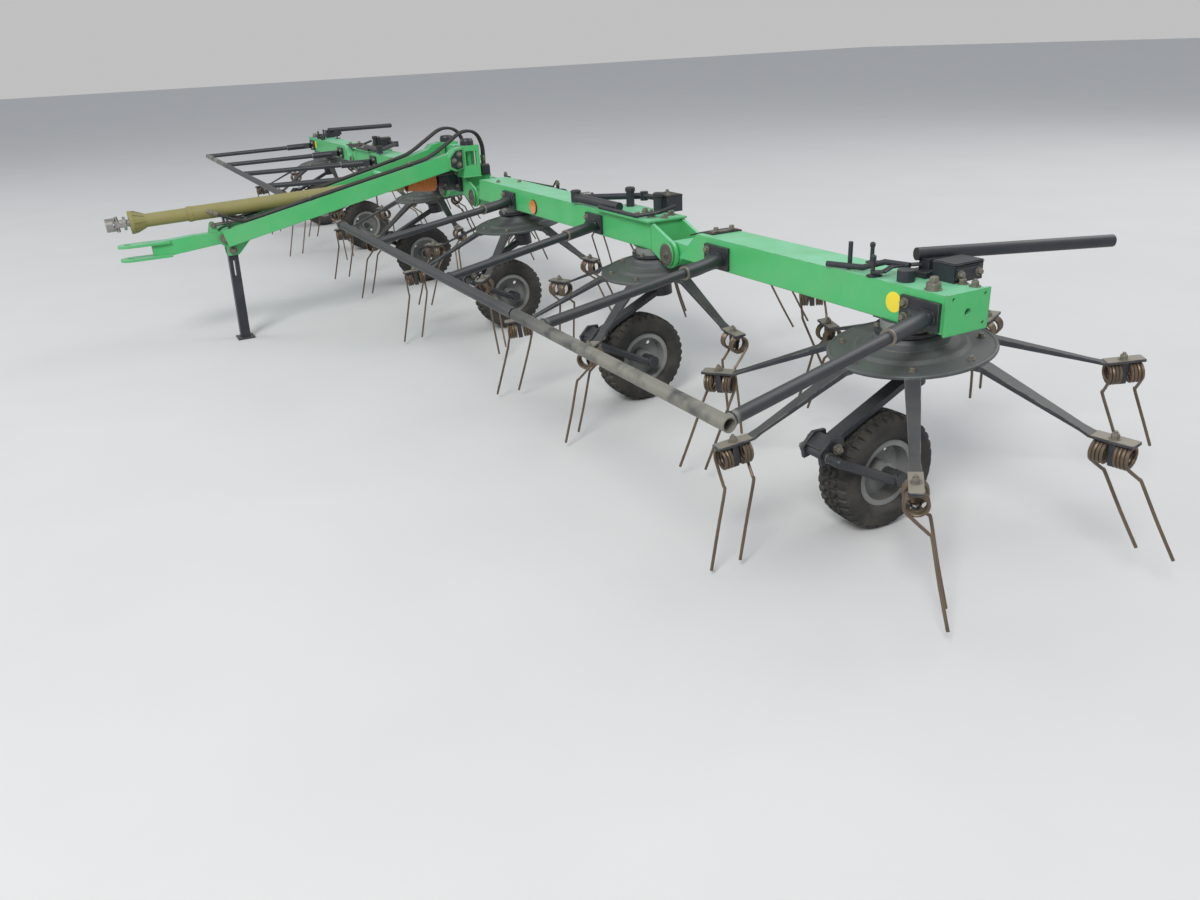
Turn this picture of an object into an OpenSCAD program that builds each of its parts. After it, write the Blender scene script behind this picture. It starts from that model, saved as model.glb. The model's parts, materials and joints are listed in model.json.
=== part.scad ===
// Towed hay tedder with six rotors on a folding beam, standing on its wheels and its parking leg.
// X points forwards, to the towing end, Y to the left and Z up. Millimetres and degrees.

/* [Layout] */
// Distance between neighbouring rotor axes
rotor_pitch = 1420; // [1380:10:1500]
// Rotor axis behind the wheel axles
rotor_back = 107; // [90:1:125]
// Height of the rotor discs above the ground
disc_z = 552; // [540:1:580]
// Forward lean of the rotor axes
rotor_lean = 6; // [3:0.5:8]
// Distance from the middle to each centre hinge
centre_hinge_y = 250; // [245:1:270]
// Distance from the second rotor's axis to the outer hinge
wing_hinge_gap = 201; // [195:1:215]
// Height of all fold hinges
hinge_z = 650; // [648:1:655]

/* [Beams] */
// Width of the beams, front to back
beam_w = 160; // [150:1:170]
// Height of the beams
beam_h = 110; // [104:1:116]
// Wall of the hollow beams
beam_wall = 8; // [5:1:14]
// Thickness of the hinge cheek plates
cheek_t = 14; // [10:1:16]
// Radius of the round cheek ends
lobe_r = 55; // [52:1:58]
// Radius of the hinge tongues
tongue_r = 50; // [46:1:52]
// Gap between a tongue and a cheek plate
side_gap = 6; // [5:0.5:8]
// Radius of the fold hinge pins
fold_pin_r = 20; // [18:0.5:24]
// Length of the outer beam past the last rotor's axis
beam_over = 187; // [170:1:210]
// Thickness of the beam's end plate
end_plate_t = 8; // [6:1:12]

/* [Rotors] */
// Number of tine arms on a rotor
arm_count = 7; // [7:1:7]
// Turning position of the arms of the clockwise rotors
arm_phase = 46; // [40:1:50]
// Radius of the rotor disc
disc_r = 245; // [235:1:255]
// Distance of the tine clamps from the rotor axis
clamp_r = 626; // [600:1:640]
// Drop of the arm ends below the disc
arm_drop = 114; // [100:1:125]
// Width of an arm at the disc
arm_w = 44; // [38:1:50]
// Width of an arm before its end plate
arm_tip_w = 28; // [24:1:32]
// Thickness of an arm's end plate
arm_plate_t = 8; // [6:1:10]
// Radius of the post that a rotor turns on
post_r = 30; // [26:0.5:34]
// Radial play of every turning fit
fit = 0.05; // [0.02:0.01:0.1]

/* [Tines] */
// Diameter of the spring wire
wire_d = 9; // [8:0.5:10]
// Radius of a coil, to the middle of its wire
coil_r = 30; // [26:1:33]
// Number of turns in a coil
coil_turns = 5; // [4:1:6]
// Gap between the two coils of a tine
coil_gap = 20; // [18:1:26]
// Height of the kink below the coil
kink_drop = 78; // [60:1:90]
// Depth of the tine tips below the disc
tip_drop = 458; // [440:1:462]
// Distance that a tip lies outside its coil
tip_out = 100; // [80:1:110]
// Distance that a tip trails behind its coil
tip_trail = 75; // [50:1:90]

/* [Wheels] */
// Outer diameter of a tyre
tyre_d = 370; // [360:1:374]
// Width of a tyre
tyre_w = 140; // [130:1:150]
// Radius of the rim under the tyre
rim_r = 98; // [92:1:102]
// Width of the hub
hub_w = 90; // [80:1:100]
// Radius of the stub axle
axle_r = 15; // [12:0.5:18]
// Diameter of the bent axle arm
axle_arm_d = 30; // [26:1:32]
// Gap between the tyre and the axle arm
tyre_gap = 12; // [8:1:16]

/* [Guards] */
// Diameter of the guard tubes
guard_d = 38; // [34:1:42]
// Distance of the guard tubes before the wheel axles
guard_x = 848; // [820:1:880]
// Height of the guard tubes
guard_z = 655; // [640:1:670]
// Distance from the middle to the gap between two guard tubes
guard_break = 2792; // [2760:1:2820]
// Width of the gap between two guard tubes
guard_gap = 12; // [10:1:30]

/* [Fold cylinders] */
// Radius of a cylinder barrel
barrel_r = 27; // [24:1:29]
// Length of a barrel from its pivot
barrel_len = 800; // [760:5:830]
// Radius of a piston rod
piston_rod_r = 14; // [12:0.5:16]
// Radius of the cylinder pins
cyl_pin_r = 15; // [13:0.5:17]
// Play of the open rod eye around its pin
eye_play = 8; // [7:0.5:10]

/* [Drawbar] */
// Height of the drawbar arms at the headstock
arm_top_z = 868; // [855:1:880]
// Distance of the drawbar arms from the middle at the headstock
arm_top_y = 190; // [185:1:200]
// Height of the tongue bolt
tongue_z = 565; // [560:1:575]
// Distance of the tongue bolt before the wheel axles
tongue_x = 1330; // [1310:1:1350]
// Width of a drawbar arm
draw_w = 64; // [56:1:70]
// Height of a drawbar arm
draw_h = 88; // [80:1:96]
// Distance of the hitch pin before the wheel axles
hitch_x = 1800; // [1780:1:1830]
// Radius of the hitch pin holes
hitch_r = 16; // [14:0.5:18]
// Clear gap between the hitch plates
hitch_gap = 58; // [50:1:64]
// Thickness of the hitch plates
hitch_t = 12; // [10:1:16]

/* [Drive shaft] */
// Front end of the drive shaft before the wheel axles
pto_front_x = 1880; // [1860:1:1900]
// Height of the drive shaft at its front end
pto_front_z = 689; // [680:1:700]
// Height of the drive shaft at the gearbox
pto_rear_z = 746; // [740:1:752]
// Radius of the drive shaft
shaft_r = 18; // [16:0.5:20]
// Length of the end yoke
yoke_len = 96; // [92:1:110]
// Radius of the socket in the end yoke
socket_r = 17.5; // [17:0.5:20]
// Depth of the socket in the end yoke
socket_depth = 40; // [34:1:42]
// Radius of the front guard tube
guard_front_r = 34; // [32:1:36]
// Radius of the rear guard tube
guard_rear_r = 38; // [36:1:40]

/* [Parking leg] */
// Width of the leg's square tube
leg_w = 50; // [45:1:55]
// Height of the leg's pivot
leg_z = 495; // [490:1:500]
// Distance of the leg's pivot before the wheel axles
leg_x = 1300; // [1295:1:1305]
// Distance that the foot stands before the pivot
leg_lean = 18; // [12:1:24]

/* [Hidden] */
$fn = 64;

green = "limegreen";
dark = [0.15, 0.17, 0.19];
steel = [0.45, 0.48, 0.5];

beam_z = hinge_z - 2;
beam_top = beam_z + beam_h;
beam_front = -rotor_back + beam_w / 2;
beam_rear = -rotor_back - beam_w / 2;
rotor_y = [for (i = [0 : 2]) rotor_pitch * (i + 0.5)];
wing_hinge_y = rotor_y[1] + wing_hinge_gap;
beam_end_y = rotor_y[2] + beam_over;
wheel_r = tyre_d / 2;
arm_pitch = 360 / arm_count;
coil_pitch = wire_d - 0.4;
coil_len = coil_pitch * coil_turns;
coil_z = -arm_drop - arm_plate_t - coil_r - wire_d / 2 - 0.4;
tip_r = clamp_r + coil_gap / 2 + coil_len + tip_out;
tongue_w = beam_w - 2 * (cheek_t + side_gap);

tip_angles = [for (k = [0 : 2 * arm_count - 1]) arm_phase + k * arm_pitch / 2 + atan(tip_trail / tip_r)];
rear_x = -rotor_back - tip_drop * sin(rotor_lean) - 0.4 * wire_d
    + min([for (a = tip_angles) norm([tip_r, tip_trail]) * cos(a)]) * cos(rotor_lean);
frame_mid_x = (pto_front_x + 1 + rear_x) / 2;

// Where a line from p touches the circle of radius r round c, on the side given by 1 or -1
function touch(p, c, r, side) =
    let (a = atan2(p[1] - c[1], p[0] - c[0]), b = acos(r / norm(p - c)))
    c + r * [cos(a + side * b), sin(a + side * b)];

// A point of a smooth curve through four neighbouring points
function curve_point(a, b, c, d, t) =
    0.5 * (2 * b + (c - a) * t + (2 * a - 5 * b + 4 * c - d) * t * t + (3 * b - a - 3 * c + d) * t * t * t);
function smooth(p, steps) = [
    for (i = [0 : len(p) - 2], s = [0 : steps - 1])
        curve_point(p[max(i - 1, 0)], p[i], p[i + 1], p[min(i + 2, len(p) - 1)], s / steps),
    p[len(p) - 1]];

// The outer outline of a closed coil: a bump for each turn of the wire
function coil_bumps(r, d, pitch, turns, z0) = [
    for (i = [0 : turns - 1], a = [-66, -24, 24, 66])
        [r + d / 2 * cos(a), z0 + (i + 0.5) * pitch + d / 2 * sin(a)]];

// Stand a Y-Z outline up and give it thickness from x0 to x1
module along_x(x0, x1) {
    translate([x0, 0, 0]) rotate([90, 0, 90]) linear_extrude(x1 - x0) children();
}

// Stand an X-Z outline up and give it thickness from y0 to y1
module along_y(y0, y1) {
    translate([0, y1, 0]) rotate([90, 0, 0]) linear_extrude(y1 - y0) children();
}

module box(lo, hi) {
    translate(lo) cube(hi - lo);
}

// A round bar from p to q
module bar(p, q, d) {
    v = q - p;
    translate(p) rotate([0, acos(v[2] / norm(v)), atan2(v[1], v[0])]) cylinder(h = norm(v), d = d);
}

// A bent round bar through a list of points
module bent_bar(p, d) {
    for (i = [0 : len(p) - 2]) bar(p[i], p[i + 1], d);
    for (i = [1 : len(p) - 2]) translate(p[i]) sphere(d = d + 0.8);
}

// A rectangular bar from p to q, w wide and h high
module box_bar(p, q, w, h) {
    v = q - p;
    translate(p) rotate([0, -atan2(v[2], norm([v[0], v[1]])), atan2(v[1], v[0])])
        translate([0, -w / 2, -h / 2]) cube([norm(v), w, h]);
}

// A plate outline that runs from an edge to a round end
module lug(top, bottom, c, r, side) {
    polygon([top, touch(top, c, r - 0.15, -side), c, touch(bottom, c, r - 0.15, side), bottom]);
    translate(c) circle(r);
}

function unit(v) = v / norm(v);
function path_dir(p, i) = unit(p[min(i + 1, len(p) - 1)] - p[max(i - 1, 0)]);

// A round hose along a path: a ring of points square to the path at each of its points
module hose(p, d, sides = 8) {
    up = [0, 1, 0];
    points = [for (i = [0 : len(p) - 1]) let (t = path_dir(p, i), u = unit(cross(up, t)), v = cross(t, u))
        for (k = [0 : sides - 1]) p[i] + d / 2 * (u * cos(360 * k / sides) + v * sin(360 * k / sides))];
    walls = [for (i = [0 : len(p) - 2], k = [0 : sides - 1]) let (n = (k + 1) % sides)
        [i * sides + k, (i + 1) * sides + k, (i + 1) * sides + n, i * sides + n]];
    ends = [[for (k = [0 : sides - 1]) k], [for (k = [sides - 1 : -1 : 0]) (len(p) - 1) * sides + k]];
    polyhedron(points, concat(walls, ends), convexity = 4);
}

module placed() {
    translate([-frame_mid_x, 0, 0]) children();
}

module handed(side) {
    placed() mirror([0, side > 0 ? 0 : 1, 0]) children();
}

module at_rotor(y) {
    translate([-rotor_back, y, disc_z]) rotate([0, rotor_lean, 0]) children();
}

/* Centre frame and headstock */
tower_y = 166;
tower_w = 104;
tower_x0 = -100;
tower_x1 = 4;
tower_top = 930;
pivot_1 = [205, 705];
pivot_2 = [centre_hinge_y + 1000, hinge_z + 75];
cyl_x = beam_rear - barrel_r - 18;

module cheeks(edge_y, c, side) {
    for (x = [beam_rear, beam_front - cheek_t]) along_x(x, x + cheek_t)
        lug([edge_y, beam_top], [edge_y, beam_z], c, lobe_r, side);
}

module hinge_pin(c) {
    for (x = [beam_rear - 12, beam_front + 6]) translate([x, c[0], c[1]]) rotate([0, 90, 0]) cylinder(h = 6, r = lobe_r - 8);
    translate([beam_rear - 12, c[0], c[1]]) rotate([0, 90, 0]) cylinder(h = beam_w + 24, r = fold_pin_r);
}

module tower() {
    difference() {
        box([tower_x0, tower_y - tower_w / 2, beam_top - 1], [tower_x1, tower_y + tower_w / 2, tower_top]);
        box([tower_x0 - 1, tower_y - tower_w / 2 + 20, 820], [tower_x1 + 1, tower_y + tower_w / 2 - 20, 900]);
        box([tower_x0 + 20, tower_y - tower_w, 820], [tower_x1 - 20, tower_y + tower_w, 900]);
    }
    translate([(tower_x0 + tower_x1) / 2, tower_y, 819]) cylinder(h = 82, d = 34);
}

module centre_frame() {
    color(green) placed() {
        box([beam_rear, -150, beam_z], [beam_front, 150, beam_top]);
        box([tower_x0 + 12, -tower_y + 1, 862], [tower_x1 - 30, tower_y - 1, 918]);
        for (side = [-1, 1]) mirror([0, side > 0 ? 0 : 1, 0]) {
            cheeks(110, [centre_hinge_y, hinge_z], 1);
            hinge_pin([centre_hinge_y, hinge_z]);
            tower();
            box([beam_rear - 10, 120, beam_z], [beam_rear + 1, 244, pivot_1[1] + 34]);
            translate([beam_rear - 1, pivot_1[0], pivot_1[1]]) rotate([0, -90, 0]) cylinder(h = 2 * barrel_r + 28, r = cyl_pin_r);
        }
    }
}

module tower_caps() {
    color(dark) placed() for (y = [-tower_y, tower_y])
        translate([(tower_x0 + tower_x1) / 2, y, tower_top]) rotate_extrude()
            polygon([[0, 0], [38, 0], [38, 22], [32, 34], [0, 38]]);
}

/* Drawbar, tongue, strut and parking leg */
bend_x = tongue_x;
arm_end_y = 68;
tongue_w2 = 29;
strut_rear = [1104, 640];
strut_front = [1373, 632];
tie_x = 1050;
strut_r = 20;
strut_rod_r = 9;
strut_pin_r = 8;
draw_slope = (arm_top_z - tongue_z) / tongue_x;

function arm_z(x) = arm_top_z - draw_slope * x;
function arm_y(x) = arm_top_y - (arm_top_y - arm_end_y) * x / tongue_x;

module drawbar() {
    color(green) placed() {
        for (side = [-1, 1]) {
            box_bar([40, side * arm_y(40), arm_z(40)], [bend_x, side * arm_end_y, tongue_z], draw_w, draw_h);
            along_y(side > 0 ? tongue_w2 + 3 : -tongue_w2 - 15, side > 0 ? tongue_w2 + 15 : -tongue_w2 - 3)
                polygon([[1180, 560], [1200, 655], [1330, 612], [1362, 590], [1362, 540], [1330, 515],
                    [leg_x + 28, leg_z - 28], [leg_x - 28, leg_z - 28]]);
            along_y(side * arm_top_y - draw_w / 2 - 8, side * arm_top_y + draw_w / 2 + 8)
                polygon([[tower_x1, arm_top_z - 56], [tower_x1, arm_top_z + 58], [52, arm_top_z + 52],
                    [92, arm_top_z + 10], [92, arm_top_z - 52], [52, arm_top_z - 70]]);
        }
        bar([tie_x, -arm_y(tie_x), arm_z(tie_x)], [tie_x, arm_y(tie_x), arm_z(tie_x)], 48);
        bar([420, -arm_y(420), arm_z(420) + 22], [420, arm_y(420), arm_z(420) + 22], 34);
        for (y = [-32, 22]) along_y(y, y + 10)
            lug([tie_x + 8, arm_z(tie_x) + 19], [tie_x + 8, arm_z(tie_x) - 19], strut_rear, 18, 1);
        translate([strut_rear[0], -36, strut_rear[1]]) rotate([-90, 0, 0]) cylinder(h = 72, r = strut_pin_r);
        translate([tongue_x, -tongue_w2 - 30, tongue_z]) rotate([-90, 0, 0]) cylinder(h = 2 * tongue_w2 + 60, r = 15);
        translate([leg_x, -tongue_w2 - 20, leg_z]) rotate([-90, 0, 0]) cylinder(h = 2 * tongue_w2 + 40, r = 9);
    }
}

hitch_mid_z = 541;
module tongue() {
    plate_z = [hitch_mid_z - hitch_gap / 2 - hitch_t, hitch_mid_z + hitch_gap / 2];
    color(green) placed() difference() {
        union() {
            along_y(-tongue_w2, tongue_w2) {
                translate([tongue_x, tongue_z]) circle(30);
                polygon([[tongue_x, tongue_z + 30], [tongue_x, tongue_z - 30], [1660, plate_z[0]],
                    [1690, plate_z[0]], [1690, plate_z[1] + hitch_t], [1640, plate_z[1] + hitch_t],
                    [1480, tongue_z + 28]]);
            }
            for (z = plate_z) translate([0, 0, z]) linear_extrude(hitch_t) {
                translate([hitch_x, 0]) circle(50);
                polygon([[1600, -46], [1600, 46], [hitch_x - 40, 50], [hitch_x, 50], [hitch_x, -50], [hitch_x - 40, -50]]);
            }
            for (y = [-24, 14]) along_y(y, y + 10)
                lug([strut_front[0] - 24, tongue_z + 20], [strut_front[0] + 30, tongue_z + 20], strut_front, 16, 1);
            translate([strut_front[0], -27, strut_front[1]]) rotate([-90, 0, 0]) cylinder(h = 54, r = strut_pin_r);
        }
        translate([tongue_x, 0, tongue_z]) rotate([90, 0, 0]) cylinder(h = 200, r = 15 + fit, center = true);
        for (z = plate_z) translate([hitch_x, 0, z - 1]) cylinder(h = hitch_t + 2, r = hitch_r);
        box([1700, -60, plate_z[0] + hitch_t], [1900, 60, plate_z[1]]);
    }
}

strut_len = norm(strut_front - strut_rear);
strut_angle = atan2(strut_front[1] - strut_rear[1], strut_front[0] - strut_rear[0]);
strut_barrel_len = 150;

// A cylinder lying along X with its eye at the origin, its eye's pin along Y
module cylinder_body(length, r, bore, eye_r, eye_w, pin_r) {
    difference() {
        union() {
            translate([0, -eye_w / 2, 0]) rotate([-90, 0, 0]) cylinder(h = eye_w, r = eye_r);
            translate([eye_r - 4, 0, 0]) rotate([0, 90, 0]) cylinder(h = length - eye_r + 4, r = r);
            translate([length - 24, 0, 0]) rotate([0, 90, 0]) cylinder(h = 24, r = r + 2.5);
        }
        rotate([90, 0, 0]) cylinder(h = 2 * eye_w, r = pin_r, center = true);
        translate([eye_r + 14, 0, 0]) rotate([0, 90, 0]) cylinder(h = length, r = bore + fit);
    }
}

// A piston rod with its eye at the origin, reaching back along -X
module piston_rod(length, r, eye_r, eye_w, pin_r) {
    difference() {
        union() {
            rotate([90, 0, 0]) cylinder(h = eye_w, r = eye_r, center = true);
            translate([-length, 0, 0]) rotate([0, 90, 0]) cylinder(h = length - pin_r - 1, r = r);
        }
        rotate([90, 0, 0]) cylinder(h = 2 * eye_w, r = pin_r, center = true);
    }
}

module strut_barrel() {
    color(dark) placed() translate([strut_rear[0], 0, strut_rear[1]]) rotate([0, -strut_angle, 0])
        cylinder_body(strut_barrel_len, strut_r, strut_rod_r, 17, 40, strut_pin_r + fit);
}

module strut_rod() {
    color("silver") placed() translate([strut_front[0], 0, strut_front[1]]) rotate([0, -strut_angle, 0])
        piston_rod(strut_len - 60, strut_rod_r, 14, 20, strut_pin_r + 1.5);
}

module parking_leg() {
    lean = atan2(leg_lean, leg_z);
    leg_len = norm([leg_lean, leg_z]);
    color(dark) placed() {
        difference() {
            translate([leg_x, 0, leg_z]) rotate([0, -lean, 0]) {
                box([-leg_w / 2, -leg_w / 2, -leg_len + 4], [leg_w / 2, leg_w / 2, 0]);
                rotate([90, 0, 0]) cylinder(h = leg_w, r = leg_w / 2, center = true);
            }
            translate([leg_x, 0, leg_z]) rotate([90, 0, 0]) cylinder(h = 100, r = 9 + fit, center = true);
            translate([leg_x, 0, leg_z]) rotate([0, -lean, 0]) box([-6, -50, -150], [6, 50, -60]);
        }
        box([leg_x + leg_lean - 45, -48, 0], [leg_x + leg_lean + 45, 48, 8]);
    }
}

/* Drive shaft */
pto_run = pto_front_x - 60;
pto_tilt = atan2(pto_rear_z - pto_front_z, pto_run);
pto_len = norm([pto_run, pto_rear_z - pto_front_z]);

// Along the drive shaft's own axis, from the gearbox towards the front
module on_shaft() {
    translate([60, 0, pto_rear_z]) rotate([0, 90 + pto_tilt, 0]) children();
}

module tube_ring(z0, z1, r_out, r_in) {
    translate([0, 0, z0]) difference() {
        cylinder(h = z1 - z0, r = r_out);
        translate([0, 0, -1]) cylinder(h = z1 - z0 + 2, r = r_in);
    }
}

guard_split = 1466 - 60;
module pto_guard() {
    color("olive") placed() on_shaft() rotate_extrude() polygon([
        [shaft_r + 0.4, 250], [guard_rear_r + 8, 250], [guard_rear_r + 8, 262], [guard_rear_r, 290],
        [guard_rear_r, guard_split], [guard_front_r, guard_split + 6], [guard_front_r, pto_len - 190],
        [guard_front_r + 22, pto_len - 130], [guard_front_r + 22, pto_len - 112], [guard_front_r + 17, pto_len - 112],
        [guard_front_r - 4, pto_len - 186], [shaft_r + 0.4, pto_len - 190]]);
}

module pto_shaft() {
    color(steel) placed() on_shaft() {
        translate([0, 0, 4]) cylinder(h = pto_len - yoke_len, r = shaft_r);
        translate([0, 0, pto_len - yoke_len]) {
            difference() {
                cylinder(h = yoke_len, r = 34);
                for (a = [0, 180]) rotate(a) {
                    box([16, -40, 14], [40, 40, 52]);
                    rotate(90) box([16, -40, 30], [40, 40, 62]);
                }
                translate([0, 0, yoke_len - socket_depth]) cylinder(h = socket_depth + 1, r = socket_r);
            }
            rotate([90, 0, 0]) translate([0, 34, 0]) cylinder(h = 78, r = 9, center = true);
            rotate([0, 90, 0]) translate([-42, 0, 0]) cylinder(h = 78, r = 9, center = true);
        }
    }
}

module gearbox_cone() {
    color("darkorange") placed() on_shaft() rotate_extrude() polygon([
        [shaft_r + 6, 60.3], [68, 60.3], [68, 82], [52, 190], [52, 226], [48, 226], [48, 188], [60, 84], [shaft_r + 6, 80]]);
}

module gearbox() {
    color(dark) placed() {
        difference() {
            union() {
                on_shaft() {
                    rotate_extrude() polygon([[0, -94], [74, -94], [78, -60], [78, -8], [58, 6], [50, 40], [34, 46],
                        [34, 60], [0, 60]]);
                    for (a = [0 : 60 : 300]) rotate(a) translate([68, 0, -20]) cylinder(h = 24, d = 16);
                }
                box([beam_front, -96, beam_top - 92], [beam_front + 22, 96, beam_top + 34]);
            }
            on_shaft() translate([0, 0, 4]) cylinder(h = 80, r = shaft_r + fit);
            box([beam_rear, -90, beam_z - 30], [beam_front, 90, beam_top + 80]);
        }
    }
}

spring_y = 120;
module counter_springs() {
    color(dark) placed() for (side = [-1, 1]) translate([tower_x1, side * spring_y, 790]) rotate([0, 90, 0]) {
        rotate_extrude() polygon(concat([[0, 0], [6, 0], [6, 24], [16, 24]],
            coil_bumps(16, 9, 9.2, 15, 26), [[16, 168], [6, 168], [6, 214], [0, 214]]));
    }
    color(dark) placed() for (side = [-1, 1])
        bar([tower_x1 + 214, side * spring_y, 790], [tower_x1 + 214, side * (arm_y(226) - draw_w / 2 - 0.4), 790], 16);
}

/* Hoses, each held along the drawbar and at the headstock */
hose_d = 16;
holder_x = 1300;

// A hose on top of the drawbar arm: from the holder back to the block behind the headstock
function on_arm(x, shift, up) = [x, arm_y(x) + shift, arm_z(x) + draw_h / 2 / cos(atan(draw_slope)) + hose_d / 2 + 1.3 + up];
function hose_route(shift) = [
    on_arm(holder_x + 58, shift, 86), on_arm(holder_x + 4, shift, 48), on_arm(1240, shift, 10), on_arm(1180, shift, 0),
    on_arm(900, shift, 0), on_arm(560, shift, 0), on_arm(260, shift, 0), on_arm(170, shift, 10), [80, 178 + shift, 946],
    [-20, 172 + shift, 1002], [-104, 160 + shift, 992], [-146, 150 + shift, 920], [-148, 146 + shift, 810]];

module hoses() {
    color(dark) placed() for (side = [-1, 1]) mirror([0, side > 0 ? 0 : 1, 0]) {
        for (shift = [-12, 12]) {
            hose(smooth(hose_route(shift), 3), hose_d);
            bar(on_arm(holder_x + 48, shift, 79), on_arm(holder_x + 92, shift, 109), 20);
        }
        box([holder_x, 44, arm_z(holder_x) + 46.2], [holder_x + 8, 106, arm_z(holder_x) + 108]);
        box([-176, 116, beam_top + 0.3], [-120, 176, beam_top + 56]);
        for (x = [300, 860]) translate([x, arm_y(x), arm_z(x)]) rotate([0, atan(draw_slope), 0])
            box([-14, -24, draw_h / 2 + 1.3], [14, 24, draw_h / 2 + 12]);
    }
}

/* Inner wing */
root_tongue_top = [centre_hinge_y + 112, beam_top - 18];
root_tongue_low = [centre_hinge_y + 90, beam_z + 4];
box_start = 75;
slant = 50;

module beam_bore(c) {
    translate([beam_rear - 30, c[0], c[1]]) rotate([0, 90, 0]) cylinder(h = beam_w + 60, r = fold_pin_r + fit);
}

module tongue_plate(top, low, c, side) {
    along_x(-rotor_back - tongue_w / 2, -rotor_back + tongue_w / 2) lug(top, low, c, tongue_r, side);
}

// Hollow of a beam between two places along Y
module beam_hollow(y0, y1) {
    box([beam_rear + beam_wall, y0, beam_z + beam_wall], [beam_front - beam_wall, y1, beam_top - beam_wall]);
}

module inner_beam(side) {
    root = [centre_hinge_y, hinge_z];
    end = [wing_hinge_y, hinge_z];
    box_end = wing_hinge_y - 131;
    color(green) handed(side) {
        difference() {
            union() {
                along_x(beam_rear, beam_front) polygon([[root[0] + box_start, beam_z], [root[0] + box_start + slant, beam_top],
                    [box_end, beam_top], [box_end, beam_z]]);
                tongue_plate(root_tongue_top, root_tongue_low, root, -1);
                cheeks(box_end - 2, end, 1);
                hinge_pin(end);
            }
            beam_bore(root);
            beam_hollow(root[0] + box_start + slant + 12, box_end - 12);
            translate([-rotor_back, (rotor_y[0] + rotor_y[1]) / 2, beam_z - 10]) cylinder(h = 30, r = 6);
        }
        along_x(beam_rear - 6, beam_front + 20) polygon([[rotor_y[1] - 350, beam_top], [rotor_y[1] - 350, beam_top + 8],
            [wing_hinge_y - 118, beam_top + 8], [wing_hinge_y - 118, beam_top]]);
        translate([beam_rear + 1, pivot_2[0], pivot_2[1]]) rotate([0, -90, 0]) cylinder(h = 2 * barrel_r + 28, r = cyl_pin_r);
        translate([beam_rear + 1, pivot_2[0], pivot_2[1]]) rotate([0, -90, 0]) cylinder(h = 9, r = cyl_pin_r + 12);
    }
}

// Guard table: beam end of the arm, tube end of the arm, both along Y
inner_guard_arms = [[821, 1263], [1761, 2164]];
outer_guard_arms = [[2706, 2971], [3690, 3930]];
arm_beam_z = 690;
inner_guard_span = [662, guard_break - guard_gap / 2];
outer_guard_span = [guard_break + guard_gap / 2, 3950];

module guard(side, arms, span) {
    color(dark) handed(side) {
        tube_ring_y(span, guard_x, guard_z);
        for (a = arms) guard_arm(a[0], a[1]);
    }
}

module tube_ring_y(span, x, z) {
    translate([x, span[0], z]) rotate([-90, 0, 0]) difference() {
        cylinder(h = span[1] - span[0], d = guard_d);
        translate([0, 0, -1]) cylinder(h = span[1] - span[0] + 2, d = guard_d - 7);
    }
}

module guard_arm(y0, y1) {
    p = [beam_front + 26, y0, arm_beam_z];
    q = [guard_x, y1, guard_z];
    mid = p + (q - p) * 0.22;
    difference() {
        union() {
            box([beam_front, y0 - 110, beam_z + 6], [beam_front + 12, y0 + 34, beam_top - 22]);
            bar(p, q, guard_d - 4);
            bar(p - (q - p) * 0.012, mid, guard_d + 10);
            box_bar(p - [8, 34, 0], p + (q - p) * 0.03, 54, 40);
        }
        translate([guard_x, y1 - 300, guard_z]) rotate([-90, 0, 0]) cylinder(h = 600, d = guard_d + 0.6);
        box([beam_front - 60, y0 - 200, beam_z], [beam_front, y0 + 200, beam_top]);
    }
}

/* Rotor mounts: housing, post, wheel leg and stub axle */
clamp_pt = [215, 312];
arm_y_out = tyre_w / 2 + tyre_gap + axle_arm_d / 2;

module rotor_mount(y) {
    intersection() {
        at_rotor(y) translate([0, 0, 66]) {
            cylinder(h = 200, r = 88);
            cylinder(h = 10, r = 106);
        }
        box([-rotor_back - 200, y - 200, 0], [-rotor_back + 200, y + 200, beam_z]);
    }
    box([beam_rear + cheek_t + 2, y - 100, beam_z - 10], [beam_front - cheek_t - 2, y + 100, beam_z]);
    at_rotor(y) {
        translate([0, 0, -112]) cylinder(h = 182, r = post_r);
        translate([0, 0, -112]) cylinder(h = 56, r = post_r + 14);
    }
    box_bar([-rotor_back - 10, y, disc_z - 84], [clamp_pt[0], y, clamp_pt[1]], 46, 20);
    along_y(y - 44, y - 32) clamp_plate();
    along_y(y + 32, y + 44) clamp_plate();
    box_bar([clamp_pt[0] - 20, y, clamp_pt[1] + 14], [clamp_pt[0] + 28, y, clamp_pt[1] - 14], 66, 40);
    for (d = [[-4, 6], [26, -16]]) translate([clamp_pt[0] + d[0], y - 54, clamp_pt[1] + d[1]])
        rotate([-90, 0, 0]) cylinder(h = 108, d = 20);
    bent_bar([[clamp_pt[0] + 26, y - 30, clamp_pt[1] - 16], [clamp_pt[0] + 26, y + arm_y_out, clamp_pt[1] - 16],
        [30, y + arm_y_out, wheel_r + 4], [0, y + arm_y_out, wheel_r]], axle_arm_d);
    translate([0, y + arm_y_out, wheel_r]) rotate([90, 0, 0]) {
        translate([0, 0, -19]) cylinder(h = 38, r = 24);
        cylinder(h = arm_y_out + hub_w / 2 + 14, r = axle_r);
        cylinder(h = arm_y_out - hub_w / 2 - 1, r = axle_r + 6);
        translate([0, 0, arm_y_out + hub_w / 2 + 1]) cylinder(h = 7, r = axle_r + 8);
    }
}

module clamp_plate() {
    polygon([[clamp_pt[0] - 34, clamp_pt[1] + 34], [clamp_pt[0] + 12, clamp_pt[1] + 36], [clamp_pt[0] + 52, clamp_pt[1] - 4],
        [clamp_pt[0] + 44, clamp_pt[1] - 42], [clamp_pt[0] + 6, clamp_pt[1] - 34], [clamp_pt[0] - 40, clamp_pt[1] + 6]]);
}

module inner_mounts(side) {
    color(dark) handed(side) for (i = [0, 1]) rotor_mount(rotor_y[i]);
}

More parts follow.
